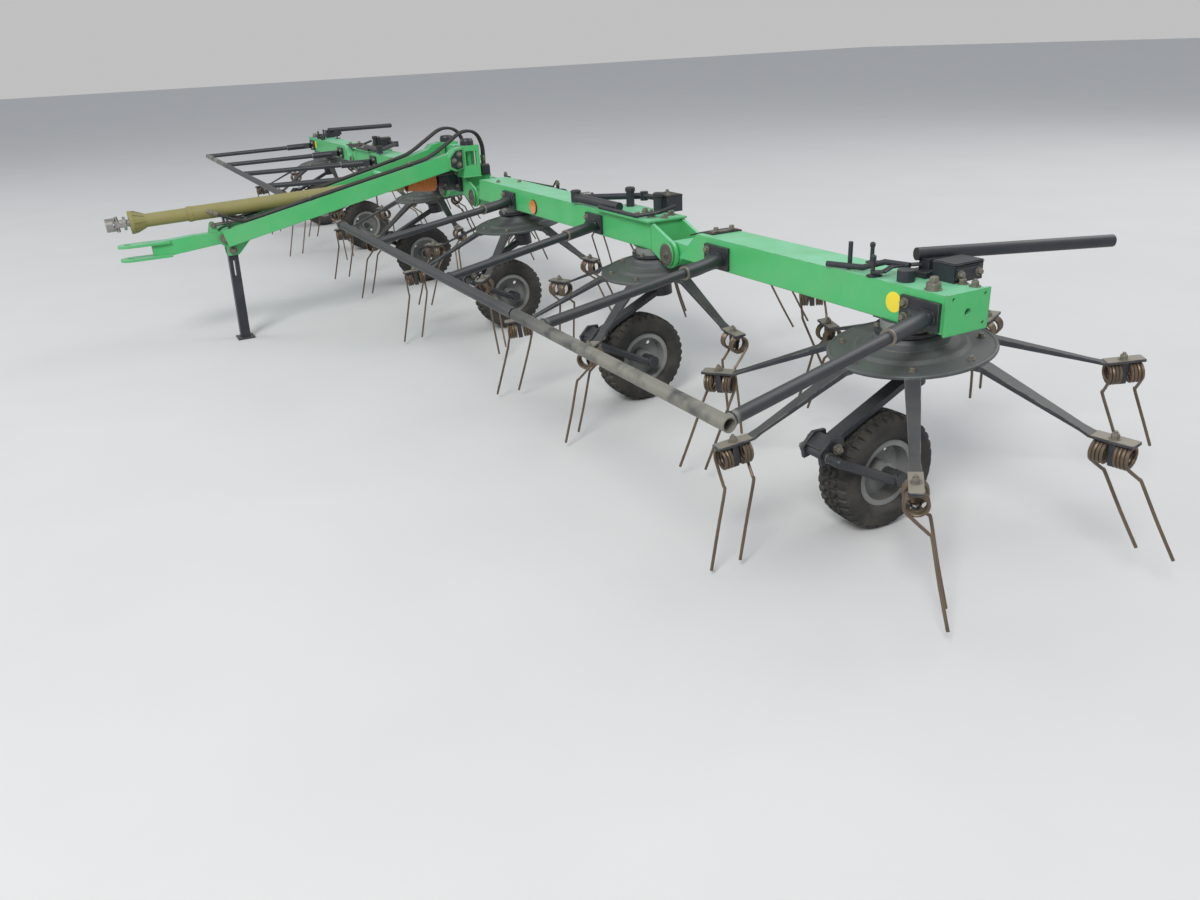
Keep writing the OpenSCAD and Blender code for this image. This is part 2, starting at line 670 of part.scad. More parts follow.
module outer_mount(side) {
    color(dark) handed(side) rotor_mount(rotor_y[2]);
}

/* Stops and bars over the second rotor */
plate_top = beam_top + 8;
module stop_frame(side) {
    y2 = rotor_y[1];
    apex = [beam_front - 2, y2 - 585, plate_top + 20.3];
    color(dark) handed(side) {
        translate([apex[0], apex[1], plate_top]) cylinder(h = 44, r = 23);
        bar(apex, [beam_front - 14, y2 - 206, plate_top + 20.3], 38);
        bar(apex, [beam_rear - 50, y2 - 324, plate_top + 33], 28);
        translate([beam_rear - 50, y2 - 324, plate_top + 14]) cylinder(h = 38, r = 18);
        bar([beam_rear - 50, y2 - 324, plate_top + 33], [beam_rear - 50, y2 - 60, plate_top + 40], 24);
        bent_bar([[beam_front + 12, y2 - 340, plate_top + 8.8], [beam_front + 12, y2 - 20, plate_top + 8.8],
            [beam_front - 60, y2 + 40, plate_top + 22], [beam_rear + 30, y2 + 54, plate_top + 40]], 16);
        for (y = [-300, -70]) translate([beam_rear + 36, y2 + y, plate_top]) cylinder(h = 66, r = 18);
        box([beam_rear - 66, y2 - 150, plate_top], [beam_rear + 10, y2 - 40, plate_top + 64]);
    }
}

module hinge_cover(side) {
    color(dark) handed(side) along_x(beam_rear - 4, beam_front - 30)
        polygon([[wing_hinge_y + 112, hinge_z + 86], [wing_hinge_y + 199, beam_top + 0.3], [wing_hinge_y + 260, beam_top + 0.3],
            [wing_hinge_y + 260, beam_top + 7], [wing_hinge_y + 196, beam_top + 8], [wing_hinge_y + 108, hinge_z + 92]]);
}

/* Outer wing */
module outer_beam(side) {
    hinge = [wing_hinge_y, hinge_z];
    color(green) handed(side) difference() {
        union() {
            along_x(beam_rear, beam_front) polygon([[hinge[0] + 74, beam_z], [hinge[0] + 199, beam_top],
                [beam_end_y, beam_top], [beam_end_y, beam_z]]);
            tongue_plate([hinge[0] + 130, beam_z + 48], [hinge[0] + 90, beam_z + 4], hinge, -1);
            box([beam_rear - 4, beam_end_y, beam_z - 4], [beam_front + 4, beam_end_y + end_plate_t, beam_top + 4]);
        }
        beam_bore(hinge);
        beam_hollow(hinge[0] + 211, beam_end_y - 10);
        translate([-rotor_back, beam_end_y - 20, beam_z + beam_h / 2]) rotate([-90, 0, 0]) cylinder(h = 60, r = 11);
        for (c = [[-64, 44], [-64, -40], [60, 44]]) translate([-rotor_back + c[0], beam_end_y - 20, beam_z + beam_h / 2 + c[1]])
            rotate([-90, 0, 0]) cylinder(h = 60, r = 5);
    }
}

module end_bar(side) {
    y = rotor_y[2];
    color(dark) handed(side) {
        bar([-150, y - 50, beam_top + 62], [-780, y + 140, beam_top + 46], guard_d);
        box([-262, y - 46, beam_top + 16], [-160, y - 8, beam_top + 50]);
        box([beam_rear - 16, y - 60, beam_top], [-130, y + 10, beam_top + 18]);
        box([-262, y + 20, beam_top], [beam_rear + 40, y + 100, beam_top + 52]);
        bent_bar([[beam_front + 6, y - 290, beam_top + 12], [beam_front - 40, y - 180, beam_top + 12],
            [beam_front - 70, y - 120, beam_top + 34], [beam_front - 90, y - 40, beam_top + 34]], 18);
        bar([-60, y - 230, beam_top], [-60, y - 230, beam_top + 84], 14);
        translate([-74, y - 10, beam_top]) cylinder(h = 34, r = 26);
        translate([-58, y + 110, beam_top]) cylinder(h = 18, r = 20);
    }
}

/* Fold cylinders */
lift_len = norm(pivot_2 - pivot_1);
lift_angle = atan2(pivot_2[1] - pivot_1[1], pivot_2[0] - pivot_1[0]);

// Lay a body that runs along X into the plane behind the beam, running along Y from a point
module behind_beam(p) {
    translate([cyl_x, p[0], p[1]]) rotate([lift_angle, 0, 0]) rotate([0, 0, 90]) children();
}

module lift_barrel(side) {
    color(dark) handed(side) behind_beam(pivot_1) {
        cylinder_body(barrel_len, barrel_r, piston_rod_r, 28, 44, cyl_pin_r + fit);
        translate([60, 0, barrel_r - 4]) cylinder(h = 22, d = 18);
        translate([barrel_len - 60, 0, barrel_r - 4]) cylinder(h = 22, d = 18);
    }
}

module lift_rod(side) {
    color("silver") handed(side) behind_beam(pivot_2)
        piston_rod(lift_len - 210, piston_rod_r, cyl_pin_r + eye_play + 11, 40, cyl_pin_r + eye_play);
}

/* Rotors: each side is 1 for anticlockwise and -1 for clockwise, seen from above */
function rotor_phase(turn) = turn > 0 ? arm_pitch / 2 - arm_phase : arm_phase;

module rotor(y, turn) {
    color(steel) placed() at_rotor(y) {
        rotate_extrude() {
            polygon([[post_r + fit, 60], [98, 60], [108, 50], [114, 30], [140, 23], [160, 21], [170, 12], [disc_r - 6, 7],
                [disc_r - 6, 1], [166, 5], [156, 13], [112, 15], [100, 18], [60, 10], [56, -50], [post_r + fit, -50]]);
            translate([disc_r - 5, 4]) circle(r = 6.5);
        }
        for (k = [0 : arm_count - 1]) rotate(rotor_phase(turn) + k * arm_pitch) rotor_arm();
    }
}

arm_end_r = clamp_r + coil_gap / 2 + coil_len + 4;
arm_bend_r = clamp_r - coil_gap / 2 - coil_len - 6;
module rotor_arm() {
    intersection() {
        rotate([90, 0, 0]) linear_extrude(120, center = true) polygon([[150, 3], [disc_r + 8, 3],
            [arm_bend_r, -arm_drop], [arm_end_r, -arm_drop], [arm_end_r, -arm_drop - arm_plate_t],
            [arm_bend_r - 3, -arm_drop - arm_plate_t], [disc_r + 4, -14], [150, -14]]);
        translate([0, 0, -200]) linear_extrude(300) polygon([[150, -arm_w / 2], [disc_r + 10, -arm_w / 2],
            [arm_bend_r - 30, -arm_tip_w / 2], [arm_bend_r + 20, -arm_w / 2 + 2], [arm_end_r, -arm_w / 2 + 2],
            [arm_end_r, arm_w / 2 - 2], [arm_bend_r + 20, arm_w / 2 - 2], [arm_bend_r - 30, arm_tip_w / 2],
            [disc_r + 10, arm_w / 2], [150, arm_w / 2]]);
    }
}

// One revolve with a bump for each turn of the wire
module coil() {
    rotate_extrude() polygon(concat([[coil_r - wire_d / 2, 0], [coil_r, 0]],
        coil_bumps(coil_r, wire_d, coil_pitch, coil_turns, 0), [[coil_r, coil_len], [coil_r - wire_d / 2, coil_len]]));
}

module tine_set(turn) {
    inner = clamp_r - coil_gap / 2 - coil_len;
    outer = clamp_r + coil_gap / 2;
    lag = -turn;
    for (start = [inner, outer]) translate([start, 0, coil_z]) rotate([0, 90, 0]) coil();
    bar([inner + coil_len - 5, 0, coil_z - coil_r], [outer + 5, 0, coil_z - coil_r], wire_d);
    box([clamp_r - 8, -15, coil_z - coil_r - 4], [clamp_r + 8, 15, -arm_drop - arm_plate_t]);
    for (r = [inner + wire_d / 2, outer + coil_len - wire_d / 2])
        bent_bar([[r, lag * coil_r, coil_z], [r + 8, lag * (coil_r + 4), coil_z - kink_drop],
            [r + tip_out, lag * tip_trail, -tip_drop]], wire_d - 0.8);
}

module tines(y, turn) {
    color("peru") placed() at_rotor(y) for (k = [0 : arm_count - 1])
        rotate(rotor_phase(turn) + k * arm_pitch) tine_set(turn);
}

/* Wheels */
flange_w = 5;
half_rim = tyre_w / 2 - 20;
module rim(y) {
    color(steel) placed() translate([0, y, wheel_r]) rotate([90, 0, 0]) difference() {
        rotate_extrude() {
            polygon([[rim_r - 5, -half_rim], [rim_r, -half_rim + flange_w], [rim_r, half_rim - flange_w], [rim_r + 10, half_rim - flange_w],
                [rim_r + 10, half_rim], [rim_r - 5, half_rim], [rim_r - 5, 12], [50, 20], [34, 20], [34, hub_w / 2],
                [axle_r + fit, hub_w / 2], [axle_r + fit, -hub_w / 2], [30, -hub_w / 2], [30, 12], [50, 12], [rim_r - 8, 4],
                [rim_r - 8, -half_rim]]);
            polygon([[rim_r - 8, -half_rim], [rim_r + 10, -half_rim], [rim_r + 10, -half_rim + flange_w], [rim_r - 8, -half_rim + flange_w]]);
        }
        for (a = [45 : 90 : 315]) rotate(a) translate([68, 0, -50]) cylinder(h = 100, r = 9);
    }
}

module tyre(y) {
    t = tyre_w / 2;
    half = [[rim_r + 0.3, half_rim - flange_w - 0.3], [rim_r + 10.3, half_rim - flange_w - 0.3], [rim_r + 11, half_rim + 2],
        [rim_r + 22, t - 4], [wheel_r - 42, t], [wheel_r - 26, t - 1], [wheel_r - 12, t - 7], [wheel_r - 4, t - 17],
        [wheel_r - 1, t - 36], [wheel_r, 0]];
    back = [for (i = [len(half) - 2 : -1 : 0]) [half[i][0], -half[i][1]]];
    color([0.1, 0.1, 0.1]) placed() translate([0, y, wheel_r]) rotate([90, 0, 0]) rotate_extrude() polygon(concat(half, back));
}

centre_frame();
tower_caps();
drawbar();
gearbox();
gearbox_cone();
pto_guard();
pto_shaft();
counter_springs();
hoses();
tongue();
strut_barrel();
strut_rod();
parking_leg();
inner_beam(1);  // inner_beam_l
guard(1, inner_guard_arms, inner_guard_span);  // inner_guard_l
inner_mounts(1);  // inner_mounts_l
stop_frame(1);  // stop_frame_l
hinge_cover(1);  // hinge_cover_l
outer_beam(1);  // outer_beam_l
guard(1, outer_guard_arms, outer_guard_span);  // outer_guard_l
outer_mount(1);  // outer_mount_l
end_bar(1);  // end_bar_l
lift_barrel(1);  // lift_barrel_l
lift_rod(1);  // lift_rod_l
inner_beam(-1);  // inner_beam_r
guard(-1, inner_guard_arms, inner_guard_span);  // inner_guard_r
inner_mounts(-1);  // inner_mounts_r
stop_frame(-1);  // stop_frame_r
hinge_cover(-1);  // hinge_cover_r
outer_beam(-1);  // outer_beam_r
guard(-1, outer_guard_arms, outer_guard_span);  // outer_guard_r
outer_mount(-1);  // outer_mount_r
end_bar(-1);  // end_bar_r
lift_barrel(-1);  // lift_barrel_r
lift_rod(-1);  // lift_rod_r
rotor(rotor_y[0], -1);  // rotor_l1
rotor(rotor_y[1], 1);  // rotor_l2
rotor(rotor_y[2], -1);  // rotor_l3
rotor(-rotor_y[0], 1);  // rotor_r1
rotor(-rotor_y[1], -1);  // rotor_r2
rotor(-rotor_y[2], 1);  // rotor_r3
tines(rotor_y[0], -1);  // tines_l1
tines(rotor_y[1], 1);  // tines_l2
tines(rotor_y[2], -1);  // tines_l3
tines(-rotor_y[0], 1);  // tines_r1
tines(-rotor_y[1], -1);  // tines_r2
tines(-rotor_y[2], 1);  // tines_r3
rim(rotor_y[0]);  // rim_l1
rim(rotor_y[1]);  // rim_l2
rim(rotor_y[2]);  // rim_l3
rim(-rotor_y[0]);  // rim_r1
rim(-rotor_y[1]);  // rim_r2
rim(-rotor_y[2]);  // rim_r3
tyre(rotor_y[0]);  // tyre_l1
tyre(rotor_y[1]);  // tyre_l2
tyre(rotor_y[2]);  // tyre_l3
tyre(-rotor_y[0]);  // tyre_r1
tyre(-rotor_y[1]);  // tyre_r2
tyre(-rotor_y[2]);  // tyre_r3
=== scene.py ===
import json
from math import atan, atan2, cos, hypot, pi, radians, sin
import bpy
import bmesh
from mathutils import Vector, Matrix


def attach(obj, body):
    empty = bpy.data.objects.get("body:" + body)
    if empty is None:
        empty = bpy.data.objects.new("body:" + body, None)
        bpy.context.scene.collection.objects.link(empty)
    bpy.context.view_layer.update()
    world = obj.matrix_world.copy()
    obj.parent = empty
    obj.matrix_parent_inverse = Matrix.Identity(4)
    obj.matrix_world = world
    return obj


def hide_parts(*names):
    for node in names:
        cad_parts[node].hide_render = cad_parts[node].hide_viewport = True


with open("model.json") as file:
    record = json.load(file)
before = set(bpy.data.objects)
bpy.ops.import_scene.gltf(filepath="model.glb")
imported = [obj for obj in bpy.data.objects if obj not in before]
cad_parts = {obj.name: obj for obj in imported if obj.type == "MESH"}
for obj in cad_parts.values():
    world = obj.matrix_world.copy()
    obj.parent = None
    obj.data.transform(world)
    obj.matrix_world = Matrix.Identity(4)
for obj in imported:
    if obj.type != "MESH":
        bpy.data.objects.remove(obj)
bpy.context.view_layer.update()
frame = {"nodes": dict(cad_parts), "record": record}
nodes = frame["nodes"]
print("frame loaded:", len(nodes), "nodes")

# The machine's own measures are in millimetres from the wheel axles, as in the part's source
layout = {"middle": 472.106, "rotorBack": 107, "discHeight": 552, "lean": radians(6), "rotorSides": (710, 2130, 3550)}
sides = (("l", 1), ("r", -1))
# Each rotor: its place along Y, its tag, its sense of turning and the wing that carries it
rotors = []
for side, sign in sides:
    for i, y in enumerate(layout["rotorSides"], 1):
        rotors.append((sign * y, side + str(i), sign * (-1) ** i, ("inner_" if i < 3 else "outer_") + side))


def at(x, y, z):
    return Vector(((x - layout["middle"]) / 1000, y / 1000, z / 1000))


# A place given on the left side, turned over for the right
def flip(sign, p):
    return at(p[0], sign * p[1], p[2])


def newObject(name, data):
    obj = bpy.data.objects.new(name, data)
    bpy.context.scene.collection.objects.link(obj)
    return obj


def newMaterial(name):
    material = bpy.data.materials.new(name)
    material.use_nodes = True
    return material, material.node_tree, material.node_tree.nodes["Principled BSDF"].inputs


# Shader groups that several finishes share
def newGroup(name, inputs, outputs):
    group = bpy.data.node_groups.new(name, "ShaderNodeTree")
    for label, value in inputs:
        group.interface.new_socket(name=label, in_out="INPUT", socket_type="NodeSocketFloat").default_value = value
    for label, kind in outputs:
        group.interface.new_socket(name=label, in_out="OUTPUT", socket_type="NodeSocket" + kind)
    return group, group.nodes.new("NodeGroupInput").outputs, group.nodes.new("NodeGroupOutput").inputs


def addNode(tree, kind, **settings):
    node = tree.nodes.new("ShaderNode" + kind)
    for key, value in settings.items():
        setattr(node, key, value)
    return node


# A constant goes on the socket itself, a colour with its alpha, and anything else is linked
def feed(tree, value, socket):
    if isinstance(value, tuple):
        socket.default_value = value + (1,)
    elif isinstance(value, (int, float)):
        socket.default_value = value
    else:
        tree.links.new(value, socket)


def mathNode(tree, operation, a, b=None, clamp=False):
    node = addNode(tree, "Math", operation=operation, use_clamp=clamp)
    feed(tree, a, node.inputs[0])
    if b is not None:
        feed(tree, b, node.inputs[1])
    return node.outputs[0]


def times(tree, a, b, clamp=False):
    return mathNode(tree, "MULTIPLY", a, b, clamp)


def plus(tree, a, b, clamp=False):
    return mathNode(tree, "ADD", a, b, clamp)


# The parts along X, Y and Z
def axesOf(tree, vector):
    node = addNode(tree, "SeparateXYZ")
    feed(tree, vector, node.inputs[0])
    return node.outputs


def objectPlace(tree):
    return addNode(tree, "TexCoord").outputs["Object"]


# Which way the surface faces
def surfaceNormal(tree):
    return addNode(tree, "NewGeometry").outputs["Normal"]


def mixColour(tree, factor, a, b):
    node = addNode(tree, "Mix", data_type="RGBA")
    for index, value in ((0, factor), (6, a), (7, b)):
        feed(tree, value, node.inputs[index])
    return node.outputs[2]


def ramp(tree, value, low, high, kind="SMOOTHSTEP", start=0, end=1):
    node = addNode(tree, "MapRange", interpolation_type=kind)
    for socket, given in zip(node.inputs, (value, low, high, start, end)):
        feed(tree, given, socket)
    return node.outputs[0]


def noise(tree, place, scale, detail, rough=0.55):
    node = addNode(tree, "TexNoise")
    for label, value in (("Vector", place), ("Scale", scale), ("Detail", detail), ("Roughness", rough)):
        feed(tree, value, node.inputs[label])
    return node.outputs[0]


def makeEdgeWear():
    group, given, result = newGroup("edgeWear", [("Width", 0.004), ("Amount", 0.5), ("Scale", 30.0)],
                                    [("Mask", "Float"), ("Normal", "Vector")])
    bevel = addNode(group, "Bevel", samples=4)
    feed(group, given["Width"], bevel.inputs["Radius"])
    dot = addNode(group, "VectorMath", operation="DOT_PRODUCT")
    feed(group, bevel.outputs[0], dot.inputs[0])
    feed(group, surfaceNormal(group), dot.inputs[1])
    edge = times(group, mathNode(group, "SUBTRACT", 1, dot.outputs["Value"]), 9, True)
    patch = ramp(group, noise(group, objectPlace(group), given["Scale"], 5), 0.42, 0.6)
    feed(group, times(group, times(group, edge, patch), given["Amount"], True), result["Mask"])
    feed(group, bevel.outputs[0], result["Normal"])
    return group


def makeDust():
    group, given, result = newGroup("fieldDust", [("Amount", 0.4), ("Scale", 7.0), ("Low", 0.0), ("High", 1.2)],
                                    [("Mask", "Float")])
    place = objectPlace(group)
    up = ramp(group, axesOf(group, surfaceNormal(group))[2], 0.1, 0.95)
    fall = ramp(group, axesOf(group, place)[2], given["Low"], given["High"], "LINEAR", 1.0, 0.25)
    cloud = ramp(group, noise(group, place, given["Scale"], 6, 0.62), 0.38, 0.68)
    speck = ramp(group, noise(group, place, times(group, given["Scale"], 14), 3), 0.5, 0.7)
    base = plus(group, times(group, up, 0.55), times(group, cloud, 0.5))
    base = times(group, plus(group, base, times(group, speck, 0.18)), fall)
    feed(group, times(group, base, given["Amount"], True), result["Mask"])
    return group


def makeGrain():
    group, given, result = newGroup("fineGrain", [("Scale", 250.0), ("Waves", 8.0)],
                                    [("Height", "Float"), ("Tone", "Float")])
    place = objectPlace(group)
    fine = noise(group, place, given["Scale"], 3)
    wide = noise(group, place, given["Waves"], 3)
    feed(group, plus(group, times(group, fine, 0.5), times(group, wide, 0.5)), result["Height"])
    feed(group, wide, result["Tone"])
    return group


def makeRust():
    group, given, result = newGroup("rustBloom", [("Scale", 18.0), ("Cover", 0.5)],
                                    [("Mask", "Float"), ("Colour", "Color")])
    place = objectPlace(group)
    lowEdge = mathNode(group, "SUBTRACT", 0.78, times(group, given["Cover"], 0.5))
    field = noise(group, place, given["Scale"], 8, 0.66)
    feed(group, ramp(group, field, lowEdge, plus(group, lowEdge, 0.16)), result["Mask"])
    tone = noise(group, place, times(group, given["Scale"], 5), 4)
    feed(group, mixColour(group, tone, (0.10, 0.035, 0.012), (0.30, 0.125, 0.045)), result["Colour"])
    return group


groups = {"edge": makeEdgeWear(), "dust": makeDust(), "grain": makeGrain(), "rust": makeRust()}


def useGroup(tree, key, **values):
    node = tree.nodes.new("ShaderNodeGroup")
    node.node_tree = groups[key]
    for name, value in values.items():
        node.inputs[name].default_value = value
    return node.outputs


# Where a second paint shows, by distance from the nearest rotor's axis or from the middle
def zoneMask(tree, zone):
    place = objectPlace(tree)
    x, y, z = axesOf(tree, place)
    reach = mathNode(tree, "ABSOLUTE", y)
    if "pitch" in zone:
        along = mathNode(tree, "SUBTRACT", mathNode(tree, "MODULO", reach, zone["pitch"]), zone["pitch"] / 2)
        back = mathNode(tree, "SUBTRACT", x, zone["centre"])
        reach = mathNode(tree, "SQRT", plus(tree, times(tree, along, along), times(tree, back, back)))
    mask = ramp(tree, reach, *zone["span"])
    if "patch" in zone:
        mask = times(tree, mask, ramp(tree, noise(tree, place, zone["patch"], 5), 0.32, 0.56))
        mask = times(tree, mask, ramp(tree, x, zone["front"] - 0.02, zone["front"]))
    return mask


# What a finish says nothing else about
plain = {"rough": 0.5, "metallic": 0, "coat": 0, "grain": 260, "waves": 6, "bump": 0.25, "depth": 0.0006,
         "width": 0.004, "under": (0.3, 0.29, 0.27), "rustScale": 18, "dustScale": 7, "dustHigh": 1.2,
         "dustColour": (0.3, 0.26, 0.2)}


# One finish: paint or metal over an undercoat, with wear at the edges, rust, dust, grain and, where asked, a painted
# sky reflection on upward faces
def makeFinish(name, values):
    s = {**plain, **values}
    material, tree, shader = newMaterial(name)
    grain = useGroup(tree, "grain", Scale=s["grain"], Waves=s["waves"])
    bump = addNode(tree, "Bump")
    colour = mixColour(tree, grain["Tone"], s["colour"], s["second"])
    if "zone" in s:
        colour = mixColour(tree, zoneMask(tree, s["zone"]), colour, s["zone"]["colour"])
    # Painted sky reflection: upward faces turn a paler teal, as if the sky shone on the tops
    if "skySheen" in s:
        upward = ramp(tree, axesOf(tree, surfaceNormal(tree))[2], 0.5, 0.95)
        sky = times(tree, upward, times(tree, grain["Tone"], s["skySheen"]), True)
        colour = mixColour(tree, sky, colour, s["skySheenColour"])
    rough = ramp(tree, grain["Height"], 0.0, 1.0, "LINEAR", s["rough"] - 0.08, s["rough"] + 0.1)
    metal = s["metallic"]
    if "wear" in s:
        edge = useGroup(tree, "edge", Width=s["width"], Amount=s["wear"])
        colour = mixColour(tree, edge["Mask"], colour, s["under"])
        metal = metal or times(tree, edge["Mask"], 0.7)
        feed(tree, edge["Normal"], bump.inputs["Normal"])
    if "rust" in s:
        rust = useGroup(tree, "rust", Scale=s["rustScale"], Cover=s["rust"])
        colour = mixColour(tree, rust["Mask"], colour, rust["Colour"])
        rough = plus(tree, rough, times(tree, rust["Mask"], 0.3), True)
    if "dust" in s:
        dust = useGroup(tree, "dust", Amount=s["dust"], Scale=s["dustScale"], High=s["dustHigh"])
        colour = mixColour(tree, dust["Mask"], colour, s["dustColour"])
        rough = plus(tree, rough, times(tree, dust["Mask"], 0.35), True)
    for label, value in (("Base Color", colour), ("Roughness", rough), ("Metallic", metal), ("Coat Weight", s["coat"]),
                         ("Coat Roughness", 0.25 if s["coat"] else 0.03), ("Normal", bump.outputs[0])):
        feed(tree, value, shader[label])
    for label, value in (("Strength", s["bump"]), ("Distance", s["depth"]), ("Height", grain["Height"])):
        feed(tree, value, bump.inputs[label])
    return material


finishes = {
    # The green paint's paler teal for upward faces is a painted sky reflection
    "green_paint": {"colour": (0.045, 0.37, 0.1), "second": (0.065, 0.44, 0.14), "rough": 0.42, "wear": 0.75,
        "coat": 0.12, "under": (0.2, 0.19, 0.17), "rust": 0.16, "rustScale": 9, "dust": 0.26, "dustScale": 5,
        "dustColour": (0.42, 0.44, 0.36), "skySheen": 0.85, "skySheenColour": (0.24, 0.6, 0.42)},
    "dark_frame": {"colour": (0.011, 0.014, 0.019), "second": (0.019, 0.023, 0.03), "rough": 0.42, "wear": 0.7,
        "under": (0.2, 0.185, 0.16), "rust": 0.12, "dust": 0.18, "dustColour": (0.22, 0.2, 0.17), "width": 0.0025},
    "grey_rotor": {"colour": (0.046, 0.055, 0.057), "second": (0.068, 0.078, 0.078), "rough": 0.45, "wear": 0.8,
        "under": (0.3, 0.27, 0.22), "rust": 0.2, "rustScale": 22, "dust": 0.18, "dustColour": (0.3, 0.27, 0.22),
        "zone": {"pitch": 1.42, "centre": -0.579, "span": (0.238, 0.262), "colour": (0.017, 0.021, 0.028)}},
    "spring_wire": {"colour": (0.06, 0.05, 0.042), "second": (0.2, 0.14, 0.085), "rough": 0.4, "rust": 0.3,
        "rustScale": 30, "dust": 0.1, "metallic": 0.55, "waves": 14},
    "rim_paint": {"colour": (0.25, 0.255, 0.245), "second": (0.17, 0.175, 0.17), "wear": 0.5, "rust": 0.25,
        "dust": 0.6, "dustScale": 12, "dustColour": (0.16, 0.14, 0.12), "dustHigh": 0.6},
    "tyre_rubber": {"colour": (0.011, 0.011, 0.011), "second": (0.022, 0.021, 0.02), "rough": 0.8, "dust": 0.42,
        "dustScale": 11, "dustColour": (0.2, 0.175, 0.135), "dustHigh": 0.5, "bump": 0.5, "grain": 420},
    "black_rubber": {"colour": (0.011, 0.011, 0.012), "second": (0.022, 0.022, 0.022), "rough": 0.62, "dust": 0.16,
        "bump": 0.35},
    "guard_plastic": {"colour": (0.2, 0.18, 0.052), "second": (0.26, 0.23, 0.078), "rough": 0.55, "dust": 0.35,
        "wear": 0.25, "under": (0.34, 0.32, 0.16), "dustColour": (0.27, 0.25, 0.17)},
    "cone_plastic": {"colour": (0.56, 0.165, 0.022), "second": (0.44, 0.13, 0.025), "dust": 0.4, "wear": 0.3,
        "under": (0.55, 0.33, 0.17), "dustColour": (0.25, 0.18, 0.11)},
    "bare_steel": {"colour": (0.4, 0.4, 0.39), "second": (0.3, 0.29, 0.27), "rough": 0.34, "metallic": 0.85,
        "rust": 0.25, "rustScale": 25, "dust": 0.2, "wear": 0.3, "under": (0.6, 0.6, 0.6)},
    "guard_tube": {"colour": (0.011, 0.014, 0.019), "second": (0.02, 0.024, 0.03), "rough": 0.44, "wear": 0.6,
        "waves": 2.2, "under": (0.22, 0.205, 0.17), "rust": 0.2, "rustScale": 12, "dust": 0.16,
        "dustColour": (0.22, 0.205, 0.17),
        "zone": {"span": (2.6, 3.4), "front": 0.35, "patch": 9, "colour": (0.17, 0.165, 0.135)}},
    "zinc_bolt": {"colour": (0.24, 0.225, 0.185), "second": (0.16, 0.145, 0.115), "rough": 0.42, "metallic": 0.65,
        "rust": 0.4, "rustScale": 60, "dust": 0.2, "wear": 0.4, "under": (0.36, 0.35, 0.32), "width": 0.0015},
    "greasy_iron": {"colour": (0.04, 0.036, 0.028), "second": (0.085, 0.074, 0.056), "rough": 0.36, "wear": 0.3,
        "rust": 0.25, "dust": 0.2},
    "reflector": {"colour": (0.75, 0.2, 0.02), "second": (0.65, 0.16, 0.02), "rough": 0.2, "coat": 0.6, "dust": 0.15},
    "cast_grey": {"colour": (0.15, 0.165, 0.155), "second": (0.22, 0.23, 0.21), "rough": 0.6, "rust": 0.15,
        "dust": 0.3, "bump": 0.6, "grain": 180, "depth": 0.001},
    "worn_steel": {"colour": (0.19, 0.17, 0.135), "second": (0.28, 0.255, 0.21), "metallic": 0.3, "rust": 0.32,
        "rustScale": 28, "dust": 0.25, "dustColour": (0.3, 0.27, 0.22)},
    "yellow_disc": {"colour": (0.8, 0.66, 0.02), "second": (0.74, 0.58, 0.03), "rough": 0.35, "dust": 0.12},
}
materials = {name: makeFinish(name, values) for name, values in finishes.items()}

record = frame["record"]
slotOf = {entry["node"]: entry["material_slot"] for entry in record["subparts"]}
for name, obj in nodes.items():
    obj.data.materials.clear()
    obj.data.materials.append(materials[slotOf[name]])
print("finishes made:", len(materials))


# Small mesh builders; a kit gathers corners and faces of one piece, and sizes are in millimetres
def newKit():
    return {"verts": [], "faces": []}


def newKits(count):
    return [newKit() for i in range(count)]


def addMesh(kit, verts, faces):
    start = len(kit["verts"])
    kit["verts"] += [Vector(v) for v in verts]
    kit["faces"] += [tuple(i + start for i in f) for f in faces]


# Faces between rings of corners that follow one another, with a lid on the first and the last
def ringFaces(rings, sides):
    faces = []
    for i in range(rings - 1):
        for k in range(sides):
            n = (k + 1) % sides
            faces.append((i * sides + k, i * sides + n, (i + 1) * sides + n, (i + 1) * sides + k))
    faces.append(tuple(range(sides - 1, -1, -1)))
    faces.append(tuple((rings - 1) * sides + k for k in range(sides)))
    return faces


def sweepTube(kit, path, radius, sides):
    path = [Vector(p) for p in path]
    count = len(path)
    tangents = [(path[min(i + 1, count - 1)] - path[max(i - 1, 0)]).normalized() for i in range(count)]
    side = tangents[0].orthogonal().normalized()
    verts = []
    for i, point in enumerate(path):
        side = (side - tangents[i] * side.dot(tangents[i])).normalized()
        other = tangents[i].cross(side)
        r = (radius[i] if isinstance(radius, list) else radius) / 1000
        for k in range(sides):
            a = 2 * pi * k / sides
            verts.append(point + side * (r * cos(a)) + other * (r * sin(a)))
    addMesh(kit, verts, ringFaces(count, sides))


# A turned piece; its profile is radius and height along the axis
def spin(kit, profile, origin, axis, steps=24):
    axis = Vector(axis).normalized()
    side = axis.orthogonal().normalized()
    other = axis.cross(side)
    verts = []
    for radius, height in profile:
        for k in range(steps):
            a = 2 * pi * k / steps
            away = axis * height + side * (radius * cos(a)) + other * (radius * sin(a))
            verts.append(Vector(origin) + away / 1000)
    addMesh(kit, verts, ringFaces(len(profile), steps))


# A hexagon bolt head with its washer, and the end of its shank; size is across the flats
def addBolt(kit, origin, axis, size=19, shank=0):
    r = size / 2 / cos(pi / 6)
    washer = [(size * 0.82, -0.5), (size * 0.82, size * 0.14), (size * 0.5, size * 0.15)]
    spin(kit, washer, origin, axis, 18)
    spin(kit, [(r, size * 0.14), (r, size * 0.66), (r * 0.84, size * 0.8)], origin, axis, 6)
    if shank:
        end = [(size * 0.27, size * 0.5), (size * 0.27, size * 0.8 + shank), (size * 0.2, size * 0.86 + shank)]
        spin(kit, end, origin, axis, 10)


